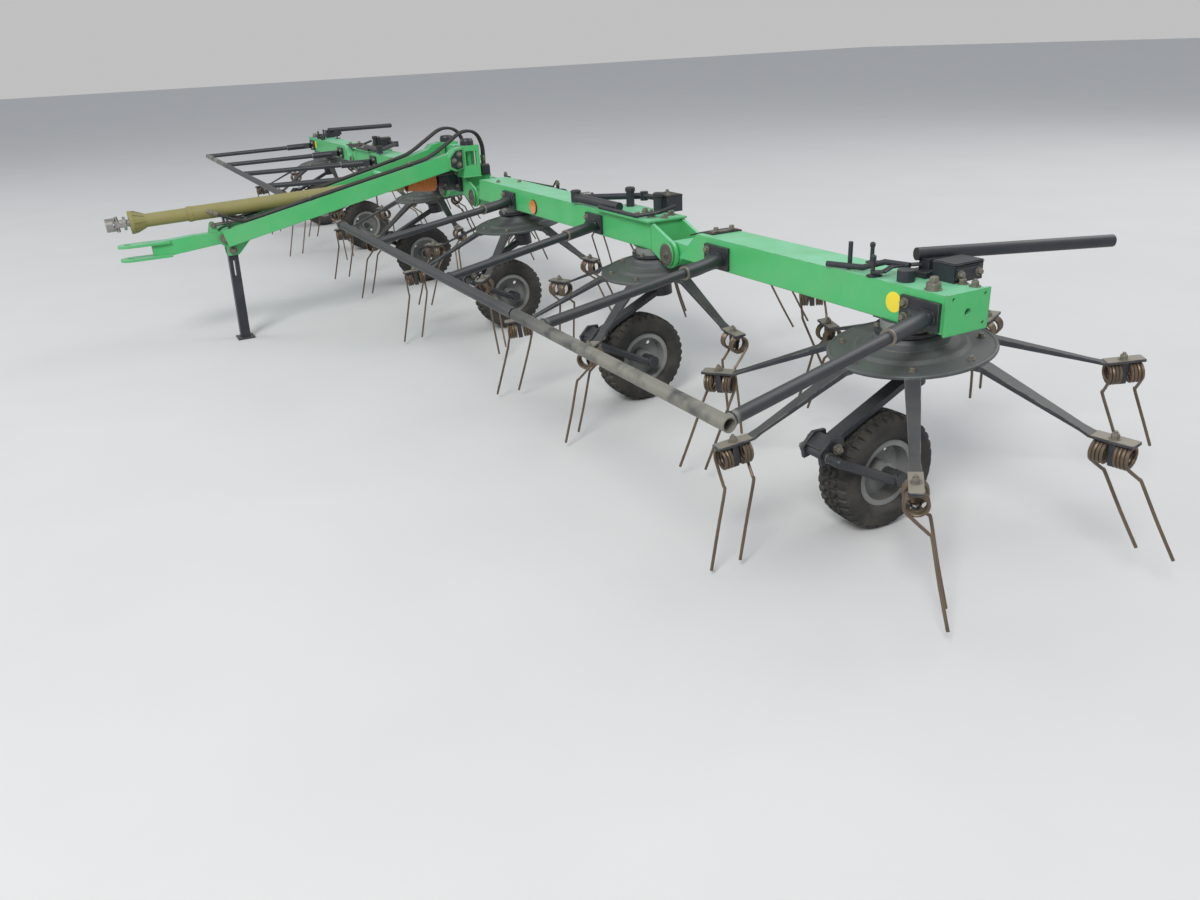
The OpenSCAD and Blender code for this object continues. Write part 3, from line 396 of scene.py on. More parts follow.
def makePiece(name, kit, finish, body, stands=()):
    mesh = bpy.data.meshes.new(name)
    mesh.from_pydata([tuple(v) for v in kit["verts"]], [], kit["faces"])
    mesh.validate()
    bm = bmesh.new()
    bm.from_mesh(mesh)
    bmesh.ops.recalc_face_normals(bm, faces=bm.faces)
    for edge in bm.edges:
        if len(edge.link_faces) == 2 and edge.calc_face_angle(0) > 0.6:
            edge.smooth = False
    for face in bm.faces:
        face.smooth = True
    bm.to_mesh(mesh)
    bm.free()
    obj = newObject(name, mesh)
    mesh.materials.append(materials[finish])
    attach(obj, body)
    if stands:
        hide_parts(*stands)
    return obj


# Several pieces on one body
def makePieces(tag, body, *parts):
    for name, kit, finish in parts:
        makePiece(name + tag, kit, finish, body)


# A smooth path through chosen points
def smoothPath(points, steps):
    points = [Vector(p) for p in points]
    last = len(points) - 1
    path = []
    for i in range(last):
        a, b, c, d = points[max(i - 1, 0)], points[i], points[i + 1], points[min(i + 2, last)]
        for s in range(steps):
            t = s / steps
            bend = (2 * a - 5 * b + 4 * c - d) * t * t + (3 * b - a - 3 * c + d) * t ** 3
            path.append(0.5 * (2 * b + (c - a) * t + bend))
    path.append(points[last])
    return path


# Where sign is given, places are machine millimetres on the left side, and sign turns them over
def boltRow(kit, sign, places, axis, size=17, shank=0):
    for p in places:
        addBolt(kit, flip(sign, p), (axis[0], sign * axis[1], axis[2]), size, shank)


def addBox(kit, sign, low, high, bevel=2, turn=None):
    low, high = flip(sign, low), flip(sign, high)
    low.y, high.y = sorted((low.y, high.y))
    bm = bmesh.new()
    bmesh.ops.create_cube(bm, size=1)
    for v in bm.verts:
        v.co = Vector([low[i] + (v.co[i] + 0.5) * (high[i] - low[i]) for i in range(3)])
    bmesh.ops.bevel(bm, geom=bm.edges[:], offset=bevel / 1000, segments=2, affect="EDGES")
    if turn:
        bmesh.ops.transform(bm, matrix=turn, verts=bm.verts)
    bm.verts.index_update()
    addMesh(kit, [v.co.copy() for v in bm.verts], [tuple(v.index for v in f.verts) for f in bm.faces])
    bm.free()


# Radii along a weld, which swell with its ripples
def ripple(count, radius, swell):
    return [radius * (1 + swell * sin(i * 2.4)) for i in range(count)]


def weldBead(kit, sign, corners):
    path = []
    for a, b in zip(corners, corners[1:]):
        a, b = flip(sign, a), flip(sign, b)
        steps = max(2, int((b - a).length / 0.007))
        path += [a + (b - a) * i / steps for i in range(steps)]
    path.append(flip(sign, corners[-1]))
    sweepTube(kit, path, ripple(len(path), 3.2, 0.28), 6)


# Faces of a plate whose outline has n corners
def plateFaces(n):
    return [tuple(range(n)), tuple(range(2 * n - 1, n - 1, -1))] + [
        (i, n + i, n + (i + 1) % n, (i + 1) % n) for i in range(n)]


# Rotors: spring tines, their clips and the bolts of the disc
rotorShape = {"arms": 7, "phase": radians(46), "clampRadius": 626, "coilLength": 43, "coilGap": 20, "coilRadius": 30,
              "coilHeight": -156.9, "wire": 4.8, "turns": 3.375, "tip": (99, 74.5, -458), "discBolt": (205, 9.6),
              "leg": ((0, -21.2, -21.2), (6, 6, -48), (11, 30, -71), (14, 38, -84), (55, 54, -190))}
# The clip's outline is across the arm and up from the coils' underside
clipShape = {"half": 9, "steel": 3.4, "innerWidth": 0.8, "boltHeight": -113.9,
             "outline": ((13, 65.1), (15, 16), (9, -4), (0, -8), (-9, -4), (-15, 16), (-13, 65.1))}


def rotorPoint(y, angle, x, across, z):
    lean = layout["lean"]
    px = x * cos(angle) - across * sin(angle)
    py = x * sin(angle) + across * cos(angle)
    return at(-layout["rotorBack"] + px * cos(lean) + z * sin(lean), y + py,
              layout["discHeight"] - px * sin(lean) + z * cos(lean))


# A coil starts at the wire that bridges the pair, on top, and ends where its leg leaves
def coilPath(start, end, lag, s):
    count = int(s["turns"] * 16)
    path = []
    for i in range(count + 1):
        a = pi / 2 + 2 * pi * s["turns"] * i / count
        along, around = start + (end - start) * i / count, lag * s["coilRadius"] * cos(a)
        path.append((along, around, s["coilHeight"] + s["coilRadius"] * sin(a)))
    return path


def legPath(r, lag, s):
    points = [(r + out, lag * across, s["coilHeight"] + z) for out, across, z in s["leg"]]
    points.append((r + s["tip"][0], lag * s["tip"][1], s["tip"][2]))
    return [tuple(p) for p in smoothPath(points, 4)]


def armAngles(turn):
    s = rotorShape
    phase = pi / s["arms"] - s["phase"] if turn > 0 else s["phase"]
    return [phase + 2 * pi * k / s["arms"] for k in range(s["arms"])]


# Up along the rotor's leaning axis
def rotorUp(y):
    return rotorPoint(y, 0, 0, 0, 10) - rotorPoint(y, 0, 0, 0, 0)


def addClip(kit, y, angle):
    s = clipShape
    low = rotorShape["coilHeight"] - rotorShape["coilRadius"]
    verts, faces = [], []
    for dx in (-s["half"], s["half"]):
        for inset, width in ((0, 1), (s["steel"], s["innerWidth"])):
            for across, z in s["outline"]:
                height = low + z + (inset if z < 0 else 0)
                verts.append(rotorPoint(y, angle, rotorShape["clampRadius"] + dx, across * width, height))
    n = len(s["outline"])
    for i in range(n - 1):
        faces += [(i, i + 1, n + i + 1, n + i), (2 * n + i + 1, 2 * n + i, 3 * n + i, 3 * n + i + 1),
                  (i + 1, i, 2 * n + i, 2 * n + i + 1), (n + i, n + i + 1, 3 * n + i + 1, 3 * n + i)]
    faces += [(0, n, 3 * n, 2 * n), (n - 1, 3 * n - 1, 4 * n - 1, 2 * n - 1)]
    addMesh(kit, verts, faces)


def makeTines(tag, y, turn, body):
    s = rotorShape
    wire, clip, bolts = newKits(3)
    lag = -turn
    inner = s["clampRadius"] - s["coilGap"] / 2 - s["coilLength"]
    outer = s["clampRadius"] + s["coilGap"] / 2
    for angle in armAngles(turn):
        first = coilPath(inner + s["coilLength"] - s["wire"], inner + s["wire"], lag, s)
        second = coilPath(outer + s["wire"], outer + s["coilLength"] - s["wire"], lag, s)
        whole = legPath(first[-1][0], lag, s)[:0:-1] + first[::-1] + second + legPath(second[-1][0], lag, s)[1:]
        sweepTube(wire, [rotorPoint(y, angle, *p) for p in whole], s["wire"], 8)
        addClip(clip, y, angle)
        addBolt(bolts, rotorPoint(y, angle, s["clampRadius"], 0, clipShape["boltHeight"]), rotorUp(y), 19, 6)
        radius, seat = s["discBolt"]
        addBolt(bolts, rotorPoint(y, angle, radius, 0, seat), rotorUp(y), 15)
    makePiece("tineWires_" + tag, wire, "spring_wire", body, ["tines_" + tag])
    makePieces(tag, body, ("tineClips_", clip, "grey_rotor"), ("rotorBolts_", bolts, "zinc_bolt"))


for y, tag, turn, wing in rotors:
    makeTines(tag, y, turn, "rotor_" + tag)
print("rotors dressed")


# Wheels. Tables of radius and half width: the bead's from the rim's seat, the wall's from the seat's radius and
# full width, the shoulder's from the tread; the valve's places are along X, inwards and up
tyreShape = {"rim": 98, "halfRim": 50, "half": 70, "radius": 185, "pitches": 34, "depth": 8.0, "around": 272,
             "bead": ((10.5, -5), (11, 2), (16, 9)), "wall": ((22, -5), (30, -2)),
             "shoulder": ((-48, 0), (-38, 0), (-30, -1), (-24, -2.5), (-18, -5), (-13, -8), (-9, -12)),
             "crown": {"steps": 22, "edge": 16, "drop": 3.6, "power": 2.4}, "treadEdge": 14, "treadBlend": 8,
             "nuts": {"count": 5, "circle": 43, "side": 20.2, "phase": 0.3},
             "valve": ((82, 12, 185), (84, 20, 187), (86, 34, 190))}
# Grooves across the tread, as shares of the half width, and along it, as shares of one pitch
treadShape = {"sideGroove": 0.36, "sideSwing": 0.07, "sideHalf": 0.055,
              "midSwing": 0.06, "midHalf": 0.035, "midCut": 0.8,
              "lugFrom": 0.42, "lugGap": 0.36, "notch": (0.08, 0.36), "notchAt": 0.3, "notchGap": 0.18, "notchCut": 0.7}


def tyreProfile(s):
    outer = []
    for table, radius, width in (("bead", "rim", "halfRim"), ("wall", "rim", "half"), ("shoulder", "radius", "half")):
        outer += [(s[radius] + r, s[width] + w) for r, w in s[table]]
    crown = []
    c = s["crown"]
    for i in range(c["steps"] + 1):
        v = 1 - 2 * i / c["steps"]
        crown.append((s["radius"] - c["drop"] * abs(v) ** c["power"], v * (s["half"] - c["edge"])))
    return outer + crown + [(r, -w) for r, w in reversed(outer)]


def treadDepth(angle, across, s):
    t = treadShape
    v = across / s["half"]
    u = angle / (2 * pi) * s["pitches"]
    swing = abs((u % 1) * 2 - 1) * 2 - 1
    shift = 0.5 if v > 0 else 0.0
    cut = 0.0
    if abs(abs(v) - (t["sideGroove"] + t["sideSwing"] * swing * (1 if v > 0 else -1))) < t["sideHalf"]:
        cut = 1.0
    if abs(v - t["midSwing"] * swing) < t["midHalf"]:
        cut = max(cut, t["midCut"])
    if abs(v) > t["lugFrom"] and (u + shift) % 1 < t["lugGap"]:
        cut = 1.0
    if t["notch"][0] < abs(v) < t["notch"][1] and (u + shift + t["notchAt"]) % 1 < t["notchGap"]:
        cut = max(cut, t["notchCut"])
    return cut * s["depth"]


def makeTyre(tag, y, body):
    s = tyreShape
    profile = tyreProfile(s)
    kit = newKit()
    verts, faces = [], []
    count = len(profile)
    for k in range(s["around"]):
        angle = 2 * pi * k / s["around"]
        for radius, across in profile:
            r = radius
            above = radius - s["radius"] + s["treadEdge"]
            if above > 0:
                r -= treadDepth(angle, across, s) * min(1, above / s["treadBlend"])
            verts.append(at(r * cos(angle), y + across, s["radius"] + r * sin(angle)))
    for k in range(s["around"]):
        n = (k + 1) % s["around"]
        for i in range(count):
            j = (i + 1) % count
            faces.append((k * count + i, k * count + j, n * count + j, n * count + i))
    addMesh(kit, verts, faces)
    makePiece("treadTyre_" + tag, kit, "tyre_rubber", body, ["tyre_" + tag])
    bolts = newKit()
    nuts = s["nuts"]
    for i in range(nuts["count"]):
        a = 2 * pi * i / nuts["count"] + nuts["phase"]
        seat = at(nuts["circle"] * cos(a), y - nuts["side"], s["radius"] + nuts["circle"] * sin(a))
        addBolt(bolts, seat, (0, -1, 0), 14, 4)
    sweepTube(bolts, smoothPath([at(x, y - inward, z) for x, inward, z in s["valve"]], 3), 4, 8)
    makePiece("hubNuts_" + tag, bolts, "zinc_bolt", body)


for y, tag, turn, wing in rotors:
    makeTyre(tag, y, "wheel_" + tag)
print("wheels dressed")


# Hoses: run and plug are distances along the drawbar and heights over its top, the arch is in machine millimetres
hoseShape = {"armTop": 868, "armSide": 190, "armEndSide": 68, "tongueX": 1330, "tongueZ": 565, "armHeight": 88,
             "seat": 1.3, "radius": 8, "length": 1.74, "spread": 12, "holder": 1300, "clips": (300, 860),
             "run": ((1358, 86), (1304, 48), (1240, 10), (1180, 0), (900, 0), (560, 0), (260, 0), (170, 10)),
             "arch": ((80, 178, 946), (-20, 172, 1002), (-104, 160, 992), (-146, 150, 920), (-148, 146, 810)),
             "plug": ((1346, 78), (1394, 110)), "valveBolts": [(x, y, 812) for y in (124, 168) for x in (-168, -128)],
             "socket": ((9.5, -6), (10.5, 0), (10.5, 26), (8, 30), (8, 36), (12.5, 38), (12.5, 50)),
             "sleeve": ((8.8, 0), (10.8, 4), (10.8, 20), (8.5, 22), (8.5, 26), (11.8, 28))}
armSlope = (hoseShape["armTop"] - hoseShape["tongueZ"]) / hoseShape["tongueX"]


# How far out the drawbar's arm lies at a distance along X
def armOut(x):
    s = hoseShape
    return s["armSide"] - (s["armSide"] - s["armEndSide"]) * x / s["tongueX"]


def armPoint(x, shift, up):
    s = hoseShape
    top = s["armHeight"] / 2 / cos(atan(armSlope))
    return Vector((x, armOut(x) + shift, s["armTop"] - armSlope * x + top + s["radius"] + s["seat"] + up))


def makeHoses():
    s = hoseShape
    fittings, block = newKits(2)
    h = s["holder"]
    for side, sign in sides:
        for number, shift in enumerate((-s["spread"], s["spread"]), 1):
            route = [armPoint(x, shift, up) for x, up in s["run"]]
            route += [Vector((x, y + shift, z)) for x, y, z in s["arch"]]
            path = [flip(sign, p) for p in smoothPath(route, 7)]
            rubber = newKit()
            sweepTube(rubber, path[::-1], s["radius"], 10)
            hose = makePiece("drawbarHose_" + side + str(number), rubber, "black_rubber", "root", ["hoses"])
            spin(fittings, s["socket"], path[-1] + Vector((0, 0, 0.05)), (0, 0, -1), 12)
            head, nose = [flip(sign, armPoint(x, shift, up)) for x, up in s["plug"]]
            run = (nose - head).length * 1000
            front = [(11.8, 0.7), (9.6, 0.74), (9.6, 0.95), (7, 1)]
            spin(fittings, list(s["sleeve"]) + [(r, share * run) for r, share in front], head, nose - head, 14)
        top = armPoint(h, 0, 0).z
        addBox(block, sign, (h, 44, top - 8), (h + 8, 106, top + 54), 1.5)
        addBox(block, sign, (-176, 116, 758.3), (-120, 176, 812), 4)
        boltRow(fittings, sign, s["valveBolts"], (0, 0, 1), 8)
        for x in s["clips"]:
            p = armPoint(x, 0, -8)
            spot = Matrix.Translation(at(x, 0, p.z))
            turn = spot @ Matrix.Rotation(atan(armSlope), 4, "Y") @ spot.inverted()
            addBox(block, sign, (x - 14, p.y - 26, p.z - 0.2), (x + 14, p.y + 26, p.z + 14), 2.5, turn)
            addBolt(fittings, at(x + 3, sign * p.y, p.z + 14), (0.22, 0, 0.97), 13)
    makePieces("", "root", ("hoseBlocks", block, "dark_frame"), ("hoseFittings", fittings, "zinc_bolt"))


makeHoses()


# Springs between the headstock and the drawbar
springShape = {"x0": 4, "side": 120, "height": 790, "radius": 16, "wire": 4.4, "start": 30, "end": 164, "turns": 15,
               "hooks": (10, 20, 176, 186), "rod": 178, "nut": 190, "crossBar": 214, "armAt": 226, "armHalf": 32.4}


def makeSprings():
    s = springShape
    wire, rods = newKits(2)
    for sign in (-1, 1):
        def place(x, across=0, up=0):
            return at(s["x0"] + x, sign * s["side"] + across, s["height"] + up)

        count = s["turns"] * 14
        path = [place(x) for x in s["hooks"][:2]]
        for i in range(count + 1):
            a = 2 * pi * s["turns"] * i / count
            r = s["radius"] * max(min(1, i / 8, (count - i) / 8), 0.05)
            path.append(place(s["start"] + (s["end"] - s["start"]) * i / count, r * cos(a), r * sin(a)))
        path += [place(x) for x in s["hooks"][2:]]
        sweepTube(wire, path, s["wire"], 8)
        spin(rods, [(12, 0), (12, 6), (6.2, 7), (6.2, 18)], place(0), (1, 0, 0), 14)
        spin(rods, [(6.2, 0), (6.2, 36)], place(s["rod"]), (1, 0, 0), 14)
        addBolt(rods, place(s["nut"]), (1, 0, 0), 17)
        outward = armOut(s["armAt"]) - s["armHalf"] - s["side"]
        sweepTube(rods, [place(s["crossBar"], -6 * sign), place(s["crossBar"], sign * outward)], 8, 12)
    makePiece("balanceSprings", wire, "dark_frame", "root", ["counter_springs"])
    makePiece("springRods", rods, "zinc_bolt", "root")


makeSprings()
print("hoses and springs made")


# Beams and guards
guardShape = {"arms": {"inner": ((821, 1263), (1761, 2164)), "outer": ((2706, 2971), (3690, 3930))},
              "face": -15, "start": -1, "beamZ": 690, "tubeX": 848, "tubeZ": 655, "sleeveEnd": 0.22, "armRadius": 17,
              "weldBack": 22, "endCap": 662, "cap": ((19.2, 0), (21.5, 1), (21.5, 30), (19.2, 31)),
              "sleeve": ((23.5, -4), (24.9, -3.5), (24.9, 0.5), (23.5, 1), (17, 1.5))}


def makeGuardTrim(side, sign, wing):
    s = guardShape
    bolts, welds, ends = newKits(3)
    for y0, y1 in s["arms"][wing]:
        p, q = flip(sign, (s["start"], y0, s["beamZ"])), flip(sign, (s["tubeX"], y1, s["tubeZ"]))
        run = (q - p).normalized()
        spin(bolts, s["sleeve"], p + (q - p) * s["sleeveEnd"], run, 28)
        boltRow(bolts, sign, [(s["face"], y0 - 90, z) for z in (716, 674)], (1, 0, 0), 18)
        across = run.orthogonal().normalized()
        up = run.cross(across)
        ring = []
        for k in range(31):
            a = 2 * pi * k / 30
            off = across * cos(a) + up * sin(a)
            ring.append(q + (off * s["armRadius"] - run * s["weldBack"]) / 1000)
        sweepTube(welds, ring, ripple(len(ring), 3, 0.25), 6)
    if wing == "inner":
        spin(ends, s["cap"], flip(sign, (s["tubeX"], s["endCap"], s["tubeZ"])), (0, sign, 0))
        makePiece("tubeEnds_" + side, ends, "black_rubber", "inner_" + side)
    makePieces(side, wing + "_" + side, (wing + "GuardBolts_", bolts, "zinc_bolt"),
               (wing + "GuardWelds_", welds, "dark_frame"))


hingeShape = {"height": 650, "faces": ((-15, 1), (-199, -1)),
              "profile": ((44, -2), (44, 2), (40, 3.5), (31, 3.5), (29, 1.5), (15, 1.5), (13, 5), (6, 6), (5, 11),
                          (2.5, 12.5))}


def makeHingeFaces(side, sign, y, body, tag):
    iron = newKit()
    for x, way in hingeShape["faces"]:
        spin(iron, hingeShape["profile"], flip(sign, (x, y, hingeShape["height"])), (way, 0, 0), 32)
    makePiece(tag + "_" + side, iron, "greasy_iron", body)


# Upright welds at the front and the rear of a beam
def seams(y, top, low=650, slant=0):
    return tuple(((x, y, low), (x, y + slant, top)) for x in (-27, -187))


# Bolts on the plates, welds at the joins, the reflector and the plain yellow disc
innerTrim = {"top": ((-46, 2062, 766), (-118, 2007, 766), (-160, 1800, 766), (-60, 1800, 766), (-100, 2190, 766)),
             "low": ((-60, 560, 758), (-150, 640, 758)), "reflector": (-27, 1078, 690),
             "lid": ((-240, 1992, 835), (-190, 2078, 835)), "wide": ((-76, 2128, 766), (-158, 2150, 766)),
             "welds": seams(2200, 757) + (((-193, 1780, 760), (-7, 1780, 760)),) + seams(327, 757, slant=48),
             "lampRim": ((36, 0), (36, 5), (34, 6)), "knobs": ((-151, 1830, 832), (-151, 2060, 832)),
             "knob": ((18.6, -4), (22.5, 0), (22.5, 12), (17, 17), (6, 18)),
             "plug": ((23.5, 0), (24.5, 2), (24.5, 6), (19, 10), (6, 12)), "plugAt": (-29, 1545, 810),
             "cover": ((28.5, 0), (28.5, 4), (21, 5), (21, 7), (16, 8)), "coverAt": (-268, 1250, 725)}
outerTrim = {"bolts": ((-169, 3664, 758), (-172, 3705, 758)), "disc": (-27, 3545, 704), "top": (-58, 3660, 758),
             "pins": ((-168, 3302, 758), (-40, 3440, 758)), "lidBolts": ((-238, 3656, 783), (-166, 3656, 783)),
             "welds": seams(3736, 757, 649) + tuple(((-186, 3736, z), (-28, 3736, z)) for z in (758.5, 647.5)),
             "boss": ((24.5, 0), (24.5, 3), (20.7, 4), (20.7, 18.5), (13, 19)),
             "plate": ((30.5, 0), (30.5, 0.6), (29, 0.8)), "mouth": ((15.5, 0), (15.5, 0.4), (4, 0.4)),
             "pin": ((16, 0), (16, 6), (6.5, 7), (6.5, 50), (8.5, 52), (8.5, 62), (4, 66)),
             "lever": ((-40, 3440, 768), (-62, 3462, 770), (-84, 3472, 784), (-120, 3490, 787), (-160, 3512, 788)),
             "leverHalf": 13, "leverThick": 6, "tube": ((-150, 3500, 820), (-780, 3690, 804))}


def makeInnerTrim(side, sign):
    s = innerTrim
    bolts, welds, lamp, dark = newKits(4)
    boltRow(bolts, sign, s["top"], (0, 0, 1), 20)
    boltRow(bolts, sign, s["low"], (0, 0, 1), 16)
    for path in s["welds"]:
        weldBead(welds, sign, path)
    place = flip(sign, s["reflector"])
    spin(dark, s["lampRim"], place, (1, 0, 0), 32)
    spin(lamp, [(33.5, 5)] + [(33 - 4 * i, 8.5 + 0.6 * (i % 2)) for i in range(8)], place, (1, 0, 0), 32)
    # Knobs over the second rotor, the rear block's lid and the plug on the frame's front corner
    for p in s["knobs"]:
        spin(dark, s["knob"], flip(sign, p), (0, 0, 1), 12)
    addBox(dark, sign, (-256, 1978, 826), (-174, 2092, 835), 3)
    addBox(dark, sign, (-259, 1996, 772), (-253, 2074, 818), 2)
    boltRow(bolts, sign, s["lid"], (0, 0, 1), 13)
    spin(dark, s["plug"], flip(sign, s["plugAt"]), (0, 0, 1))
    boltRow(bolts, sign, s["wide"], (0, 0, 1), 24, 10)
    spin(bolts, s["cover"], flip(sign, s["coverAt"]), (-1, 0, 0))
    makePieces(side, "inner_" + side, ("innerBolts_", bolts, "zinc_bolt"), ("innerWelds_", welds, "green_paint"),
               ("reflector_", lamp, "reflector"), ("innerKnobs_", dark, "black_rubber"))


def makeOuterTrim(side, sign):
    s = outerTrim
    bolts, welds, disc, dark, mouth = newKits(5)
    boltRow(bolts, sign, s["bolts"], (0, 0, 1), 20, 5)
    x, y, z = s["top"]
    spin(bolts, s["boss"], flip(sign, s["top"]), (0, 0, 1), 28)
    boltRow(bolts, sign, [(x, y, z + 18)], (0, 0, 1), 24)
    for path in s["welds"]:
        weldBead(welds, sign, path)
    spin(disc, s["plate"], flip(sign, s["disc"]), (1, 0, 0), 40)
    for x, y, z in s["pins"]:
        spin(dark, s["pin"], flip(sign, (x, y, z)), (0, 0, 1), 16)
        addBox(dark, sign, (x - 26, y - 16, z), (x + 13, y + 16, z + 5), 1.5)
    # The flat lever that runs from the front pin back to the socket under the tube
    for a, b in zip(s["lever"], s["lever"][1:]):
        a, b = Vector(a), Vector(b)
        half = Vector((a.y - b.y, b.x - a.x, 0)).normalized() * s["leverHalf"]
        lift = Vector((0, 0, s["leverThick"]))
        corners = [a - half, a + half, b + half, b - half]
        addMesh(dark, [flip(sign, c) for c in corners + [c + lift for c in corners]], plateFaces(4))
    # Ribs of the black bracket and its lid
    addBox(dark, sign, (-265, 3566, 806), (-144, 3654, 815), 4)
    addBox(dark, sign, (-252, 3650, 766), (-150, 3656, 800), 2)
    boltRow(bolts, sign, s["lidBolts"], (0, 1, 0), 16)
    # Flat black discs in the end tube's open mouths: painted shade for the dark hollow inside the tube
    a, b = [flip(sign, p) for p in s["tube"]]
    for end, run in ((a, a - b), (b, b - a)):
        spin(mouth, s["mouth"], end, run, 28)
    makePieces(side, "outer_" + side, ("outerBolts_", bolts, "zinc_bolt"), ("outerWelds_", welds, "green_paint"),
               ("plainDisc_", disc, "yellow_disc"), ("outerLevers_", dark, "dark_frame"),
               ("tubeMouthShade_", mouth, "black_rubber"))


matShape = {"hinge": 2331, "x0": -191, "x1": -57, "thick": 5.5,
            "line": ((108, 739.5), (122, 742), (150, 749.5), (178, 757), (192, 760), (206, 761.2), (234, 761.2),
                     (260, 760.5))}


def makeMat(side, sign):
    s = matShape
    mat, bolts = newKits(2)
    line = smoothPath([(0, y, z) for y, z in s["line"]], 3)
    across = 10
    verts = []
    for level in (0, 1):
        for p in line:
            for k in range(across + 1):
                v = k / across
                x = s["x0"] + (s["x1"] - s["x0"]) * v
                wave = 0.5 * sin(p.y * 0.11 + 5 * v) - 1.2 * abs(2 * v - 1) ** 3
                verts.append(flip(sign, (x, s["hinge"] + p.y, p.z + (level - 0.5) * s["thick"] + wave)))
    n, m = across + 1, len(line)
    faces = []
    for i in range(m - 1):
        for k in range(across):
            a = i * n + k
            faces += [(a, a + 1, a + n + 1, a + n), (m * n + a, m * n + a + n, m * n + a + n + 1, m * n + a + 1)]
        for k in (0, across):
            a = i * n + k
            faces.append((a, a + n, m * n + a + n, m * n + a))
    for i in (0, m - 1):
        for k in range(across):
            a = i * n + k
            faces.append((a, m * n + a, m * n + a + 1, a + 1))
    addMesh(mat, verts, faces)
    addBox(bolts, sign, (-181, s["hinge"] + 226, 763), (-67, s["hinge"] + 248, 766.4), 1)
    boltRow(bolts, sign, [(x, s["hinge"] + 237, 766.2) for x in (-160, -88)], (0, 0, 1), 18)
    makePiece("hingeMat_" + side, mat, "black_rubber", "outer_" + side, ["hinge_cover_" + side])
    makePiece("matStrip_" + side, bolts, "zinc_bolt", "outer_" + side)


# Cast necks under the beam, clamp bolts of the wheel legs
neckShape = {"radius": 88.7, "low": 76, "beam": 647.4, "ring": 97, "clamps": ((211, 318), (241, 296))}


def makeNeck(tag, y, body):
    s, lean = neckShape, layout["lean"]
    neck, bolts = newKits(2)
    steps = 48
    verts = []
    for r in (s["radius"], s["radius"] - 1.6):
        for top in (False, True):
            for k in range(steps):
                a = 2 * pi * k / steps
                high = (s["beam"] - layout["discHeight"] + r * cos(a) * sin(lean)) / cos(lean)
                verts.append(rotorPoint(y, a, r, 0, high if top else s["low"]))
    faces = []
    for k in range(steps):
        n = (k + 1) % steps
        for a, b in ((0, 1), (3, 2), (1, 3), (2, 0)):
            faces.append((a * steps + k, a * steps + n, b * steps + n, b * steps + k))
    addMesh(neck, verts, faces)
    for k in range(6):
        addBolt(bolts, rotorPoint(y, radians(60 * k + 18), s["ring"], 0, s["low"]), rotorUp(y), 13)
    for x, z in s["clamps"]:
        for dy in (-54, 54):
            addBolt(bolts, at(x, y + dy, z), (0, dy, 0), 20, 4)
    makePieces(tag, body, ("neck_", neck, "cast_grey"), ("clampBolts_", bolts, "zinc_bolt"))


padShape = {"r0": 572, "r1": 682, "half": 19.2, "corner": 5, "top": -114, "thick": 1.1}


def makePads(tag, y, turn, body):
    s = padShape
    pads = newKit()
    tip, side = s["r1"] - s["corner"], s["half"] - s["corner"]
    outline = [(s["r0"], -s["half"]), (tip, -s["half"]), (s["r1"], -side),
               (s["r1"], side), (tip, s["half"]), (s["r0"], s["half"])]
    for angle in armAngles(turn):
        verts = [rotorPoint(y, angle, a, b, s["top"] + dz) for dz in (0, s["thick"]) for a, b in outline]
        addMesh(pads, verts, plateFaces(len(outline)))
    makePiece("armPads_" + tag, pads, "worn_steel", body)


for side, sign in sides:
    makeGuardTrim(side, sign, "inner")
    makeGuardTrim(side, sign, "outer")
    makeHingeFaces(side, sign, 250, "root", "centreHinge")
    makeHingeFaces(side, sign, 2331, "inner_" + side, "wingHinge")
    makeInnerTrim(side, sign)
    makeOuterTrim(side, sign)
    makeMat(side, sign)
    for y, tag, turn, wing in rotors:
        if tag[0] == side:
            makeNeck(tag, y, wing)
            makePads(tag, y, turn, "rotor_" + tag)
print("wings fitted out")


# Centre: headstock plates, gearbox bolts, shaft guard collars, drawbar and leg fittings
shaftShape = {"top": (60, 746), "tilt": atan2(57, 1820), "bolts": 68}
shaftEnd = hypot(1820, 57)
shaftShape["collars"] = ((1402, 38.2, 22), (262, 46.2, 10), (shaftEnd - 131, 56.2, 18))
shaftShape["spokes"] = ((35.5, shaftEnd - 186), (56, shaftEnd - 136))


# A place on the drive shaft's guard, z along it from the gearbox
def shaftPoint(x, y, z):
    (x0, z0), t = shaftShape["top"], shaftShape["tilt"]
    return at(x0 - x * sin(t) + z * cos(t), y, z0 - x * cos(t) - z * sin(t))


centreTrim = {"plate": ((10, 914), (46, 910), (80, 874), (80, 826), (48, 808), (12, 818)),
              "plateBolts": ((30, 236, 890), (62, 236, 858), (34, 236, 834)), "strut": ((1373, 27, 632),),
              "pins": ((1300, 49, 495, 26), (1330, 59, 565, 34), (1104, 36, 640, 18)),
              "frontBolts": ((-5, 78, 700), (-5, 78, 770)), "cover": ((27, 0), (27, 4), (20, 5), (16, 6)),
              "coverAt": (-270, 205, 705),
              "cone": {"rings": (98, 114, 130, 146, 162, 178), "rear": 82, "radius": 68, "slope": 16 / 108},
              "welds": (((-100, 114, 759), (-100, 218, 759)), ((4, 114, 759), (4, 218, 759)),
                        ((-100, 218, 759), (4, 218, 759)), ((4, 150, 800), (4, 150, 924)),
                        ((-27, 112, 650), (-27, 112, 757)), ((1026, 63, 629), (1026, 63, 600)))}


